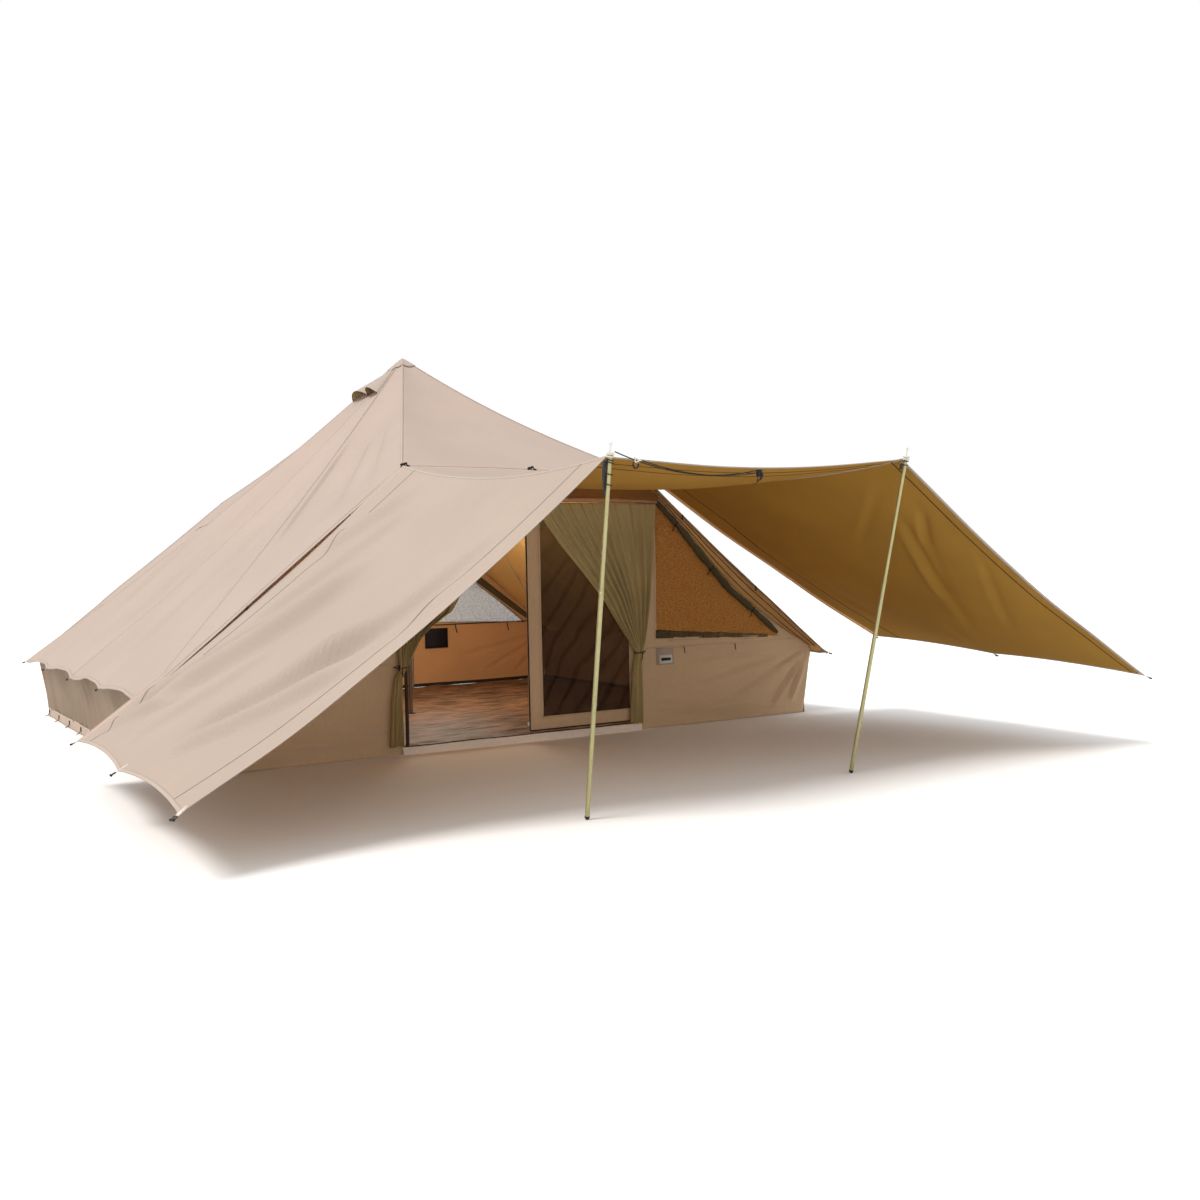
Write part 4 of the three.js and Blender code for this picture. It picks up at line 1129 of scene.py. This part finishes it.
def wing_point(side, s, v):
    """A point of a wing: s is 0 at the seam and 1 at the outer edge, v is 0 at the back and 1 in front."""
    s, v = np.broadcast_arrays(np.asarray(s, float), np.asarray(v, float))
    back, front, middle = WING_SAG[side]
    pull = np.abs(np.sin(2 * np.pi * v)) ** 0.8 * 0.015 * s**10
    v = v * (1 - FRONT_CUT[side] * np.sin(np.pi * s))
    rear, fore = (CANOPY_BACK[side], WING_BACK[side]), (canopy_corner(side), WING_FRONT[side])
    point = blend_points(rear, fore, s - pull, v)
    drop = np.sin(np.pi * s) * (back + (front - back) * v + middle * np.sin(np.pi * v))
    size = np.array([2.85, 3.05])                 # the wing's span and depth
    a, b = s * size[0], v * size[1]
    fold = 0.010 * cloth_noise(a * 1.3, b * 2.2, 141 if side == "left" else 151) * np.sin(np.pi * s)
    for start, end, width, height in WING_FOLDS[side]:
        fold = fold + crease(a, b, start * size, end * size, width, height)
    point[..., 2] -= drop + SEAM_SAG * (1 - s) * 4 * v * (1 - v)
    return point + fold[..., None] * np.array([0.45 if side == "right" else -0.45, 0, 0.89])


def wing_normal(side, s, v):
    """The upward normal of a wing."""
    step = 0.004
    s, v = np.broadcast_arrays(np.clip(s, step, 1 - step), np.clip(v, step, 1 - step))
    along = wing_point(side, s + step, v) - wing_point(side, s - step, v)
    forth = wing_point(side, s, v + step) - wing_point(side, s, v - step)
    normal = np.cross(along, forth)
    normal /= np.linalg.norm(normal, axis=-1)[..., None]
    return normal * np.sign(normal[..., 2:3])


def centre_point(s, v):
    s, v = np.broadcast_arrays(np.asarray(s, float), np.asarray(v, float))
    back, front, middle = CENTRE_SAG
    rear, fore = list(CANOPY_BACK.values()), (canopy_corner("left"), canopy_corner("right"))
    point = blend_points(rear, fore, s, v)
    drop = np.sin(np.pi * s) * (back + (front - back) * v + middle * np.sin(np.pi * v))
    drop = drop + SEAM_SAG * 4 * v * (1 - v)
    point[..., 2] += 0.008 * cloth_noise(s * 3, v * 5, 161) * np.sin(np.pi * s) - drop
    return point


def make_canopy():
    v = np.linspace(0, 1, 110)[:, None]
    left = wing_point("left", np.linspace(1, 0, 121)[None, :-1], v)
    centre = centre_point(np.linspace(0, 1, 61)[None, :-1], v)
    right = wing_point("right", np.linspace(0, 1, 121)[None, :], v)
    points = np.concatenate([left, centre, right], axis=1)
    looks = ["canopy", "canopy_inside", "hem_over", "hem_under"]
    canopy = grid_cloth("canopy", points, looks, flip=True)
    for face in canopy.data.polygons:             # the doubled back hem takes a painted glow on its underside
        if max(face.vertices) < (HEM_ROWS + 1) * points.shape[1]:
            face.material_index = looks.index("hem_over")
    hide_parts("canopy_centre", "canopy_left_wing", "canopy_right_wing")
    hems = make_hems()


def make_hems():
    """The canopy's hems, and the stitched lines beside them."""
    trim = Parts()
    long = np.linspace(0, 1, 160)
    for side in ("left", "right"):
        edges = ((long, 0.0045, 0.024), (long, 0.9955, 0.024), (0.9955, long, 0.022), (0.0, long, 0.014))
        for s_at, v_at, width in edges:
            trim.band(wing_point(side, s_at, v_at), wing_normal(side, s_at, v_at), width, 0.005, "hem")
        for at in (0.10, 0.915) if side == "left" else (0.13, 0.968):
            path, normals = wing_point(side, long[:-1], at), wing_normal(side, long[:-1], at)
            trim.band(path + normals * 0.0018, normals, 0.005, 0.002, "stitch")
            trim.band(path - normals * 0.0020, normals, 0.008, 0.002, "seam_dark")

    def over_centre(at, drop, width, thick, material):
        path = centre_point(long, at)
        normals = np.cross(np.gradient(path, axis=0), (0, 1, 0))
        trim.band(path - (0, 0, drop), normals * np.sign(normals[:, 2:3] + 1e-9), width, thick, material)

    for at in (0.0045, 0.9955):
        over_centre(at, 0, 0.024, 0.005, "hem")
    for at in (0.06, 0.90, 0.945):
        over_centre(at, 0.0024, 0.005, 0.002, "seam_dark")
    return trim.piece("canopy_hems", "canopy_canvas")


def make_canopy_tabs():
    tabs = Parts()
    for side, sign in (("left", -1), ("right", 1)):
        for v_at, lean in ((0.0, 0.5), (0.5, 0.0), (1.0, -0.5)):
            tip = wing_point(side, 1.0, v_at)
            out = unit((sign * 0.8, lean, -0.45))
            across = np.cross(out, (0, 0, 1))
            tabs.tube([tip - out * 0.06, tip, tip + out * 0.012], 0.011, "pale_webbing", flat=0.25)
            tabs.loop(tip + out * 0.022, out * 0.013, across * 0.010, "black", 0.0028)
            tabs.toggle(tip + out * 0.040, across, length=0.030, radius=0.0065)
    tabs.piece("canopy_corner_tabs", "black_plastic")
    toggles = Parts()
    for x_at in (-PORTAL_X + 0.01, 0.0, PORTAL_X - 0.01):
        at = np.array([x_at, -PORTAL_Y - 0.018, PORTAL_Z + 0.018])
        toggles.toggle(at + (0, 0, 0.014), (1, 0.1, 0.25), length=0.058, radius=0.0095)
        toggles.toggle(at + (0.030, -0.012, 0.002), (1, 0.3, -0.3), length=0.035, radius=0.006)
        toggles.loop(at + (-0.010, 0, -0.004), (0.010, 0, 0.016), (0.012, 0.004, 0), "webbing", 0.0032)
    toggles.piece("roof_toggles", "black_plastic")


# ---------------------------------------------------------------- poles and ropes
def make_pole_trim(side):
    foot, top = np.array(POLE_FOOT[side]), np.array(POLE_TOP[side])
    axis = unit(top - foot)
    across = unit(np.cross(axis, (0, 1, 0)))
    other = np.cross(axis, across)
    parts = Parts()
    for lift in (0.004, -0.009):                  # eyelet rings round the spike, over and under the cloth
        parts.loop(top + axis * lift, across * 0.017, other * 0.017, "pale_webbing", 0.005, 24)
    if side == "left":
        for drop in (0.028, 0.040, 0.098, 0.150):
            parts.loop(top - axis * drop, across * 0.0175 + axis * 0.004, other * 0.0175, "rope", 0.0030, 20)
        path = [top - axis * d + across * 0.0155 for d in np.linspace(0.02, 0.17, 12)]
        parts.tube(path, 0.0028, "rope", 6)
        path = [top - axis * d + across * (0.017 + 0.010 * math.sin(d * 20)) - other * 0.006
                for d in np.linspace(0.030, 0.200, 14)]
        parts.strap(path, 0.010, other, "strap", flat=0.3)
    else:
        for drop in (0.022, 0.045):
            parts.loop(top - axis * drop, across * 0.0165, other * 0.0165, "webbing", 0.0032, 20)
        parts.toggle(top - axis * 0.055 + across * 0.030, (0.3, 0, 1), length=0.040, radius=0.008)
    parts.piece(f"{side}_pole_lashing", "rope")


def make_rope(name, node, start, end, sag):
    """A stowed rope that hangs from start to a fitting at its end."""
    t = np.linspace(0, 1, 33)
    path = straight(start, end, 33)
    path[:, 2] -= 4 * sag * t * (1 - t)
    curve = bpy.data.curves.new(name, "CURVE")
    curve.dimensions = "3D"
    curve.bevel_depth = ROPE_RADIUS
    curve.bevel_resolution = 3
    curve.use_fill_caps = True
    spline = curve.splines.new("POLY")
    spline.points.add(len(path) - 1)
    for point, place in zip(spline.points, path):
        point.co = (*place, 1)
    curve.materials.append(M["rope"])
    rope = add_object(name, curve)
    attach(rope, "tent")
    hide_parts(node)


def make_ropes():
    start, end = np.array(POLE_TOP["left"]) + (0.026, -0.004, 0.014), CLIP + (-0.014, -0.014, 0)
    make_rope("stowed_rope_outer", "guy_rope_outer", start, end, 0.062)
    start, end = RUNNER + (0.026, 0, -0.004), CLIP + (-0.014, -0.024, -0.012)
    make_rope("stowed_rope_inner", "guy_rope_inner", start, end, 0.040)


def make_cord_tails():
    """Short doubled tails of cord round the clip, and the hook on the runner."""
    parts = Parts()
    hang = CLIP + (-0.002, -0.034, -0.004)
    t = np.linspace(0, 1, 12)
    for lean, drop, bow in ((-0.040, 0.070, 0.010), (-0.026, 0.056, -0.012), (-0.008, 0.050, 0.012)):
        curl = np.sin(np.pi * t)
        path = hang + np.stack([lean * t**1.4 + bow * curl, -0.006 * curl, -drop * t], 1)
        parts.tube(path, 0.0030, "rope", 6, normal=(0, 1, 0))
    for drop in (0.004, 0.012):
        parts.loop(CLIP + (0, -0.018, -drop), (0.0150, 0, 0.004), (0, 0.0160, 0), "rope", 0.0030, 20)
    t = np.linspace(-0.4, 1.35 * math.pi, 20)
    bend = RUNNER + (-0.020, -0.010, -0.028) + 0.016 * np.stack([np.cos(t), 0 * t, -np.sin(t)], 1)
    parts.tube(bend, 0.0042, "black", normal=(0, 1, 0))
    parts.piece("cord_tails_and_hook", "rope")


# ---------------------------------------------------------------- CAD nodes that stay
def paint_nodes():
    looks = {
        "guy_clip": "black", "guy_runner": "zinc", "door_zip_slider": "zinc",
        "centre_pole_foot": "black", "centre_pole_head": "black",
        "front_left_pole": "frame_dark", "front_right_pole": "frame_dark",
    }
    for name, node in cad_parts.items():
        if name in looks:
            look = looks[name]
        elif name.endswith("_pole_foot"):
            look = "rubber"
        elif name.endswith(("_pole_spike", "_pole_button")):
            look = "zinc"
        elif name.endswith("_corner"):
            look = "black"
        elif name.startswith(("left_pole", "right_pole")):
            look = "steel"
        else:
            look = "inner_steel"
        node.data.materials.clear()
        node.data.materials.append(M[look])


# ---------------------------------------------------------------- stage
def make_stage():
    mesh = bpy.data.meshes.new("floor")
    size = 60.0
    corners = [(x, y, 0) for x, y in box_corners((-size, -size), (size, size))]
    mesh.from_pydata(corners, [], [(0, 1, 2, 3)])
    floor = add_object("floor", mesh)
    floor.location.z = -0.001
    white = (0.86, 0.86, 0.86)
    paint, make, shader, _ = principled("floor_paint", white, 0.95)
    make.link(make.tinted(white, make.ramp(make.noise(0.4, 2.0), 0.3, 0.7, 0.99, 1.01)), shader, "Base Color")
    mesh.materials.append(paint)

    world = bpy.data.worlds.new("studio")
    world.use_nodes = True
    world.node_tree.nodes["Background"].inputs["Color"].default_value = (1, 1, 1, 1)
    world.node_tree.nodes["Background"].inputs["Strength"].default_value = 1.0
    bpy.context.scene.world = world

    sun = bpy.data.lights.new("soft_sun", "SUN")
    sun.energy = 2.4
    sun.angle = math.radians(22)
    sun.color = (1.0, 0.97, 0.93)
    lamp = add_object("soft_sun", sun)
    lamp.rotation_euler = Vector((-0.62, -0.10, 1.0)).to_track_quat("Z", "Y").to_euler()

    inner = bpy.data.lights.new("inside_fill", "POINT")
    inner.energy = 110
    inner.shadow_soft_size = 0.7
    inner.color = (1.0, 0.88, 0.72)
    bulb = add_object("inside_fill", inner)
    bulb.location = (0.35, 0.2, 1.25)
    bulb.visible_camera = False
    bpy.context.scene.view_settings.view_transform = "Standard"


make_camera()
make_ropes()
make_cord_tails()
make_stage()
paint_nodes()
make_roof()
make_peak_cap()
make_vent_hood("left")
make_vent_hood("right")
make_eave_tabs()
make_side_wall("left", -1, 50)
make_side_wall("right", 1, 60)
make_front_face("left", -1)
make_front_face("right", 1)
for flap_side, flap_sign in (("left", -1), ("right", 1)):
    make_edge_flap(f"front_{flap_side}", flap_sign, -1)
    make_edge_flap(f"back_{flap_side}", flap_sign, 1)
make_lintel()
make_curtain("right", 1, 1.25, 0.636, 171)
make_curtain("left", -1, 0.95, 0.640, 181)
make_door_leaf()
make_sill()
make_groundsheet()
make_back()
make_canopy()
make_canopy_tabs()
make_pole_trim("left")
make_pole_trim("right")
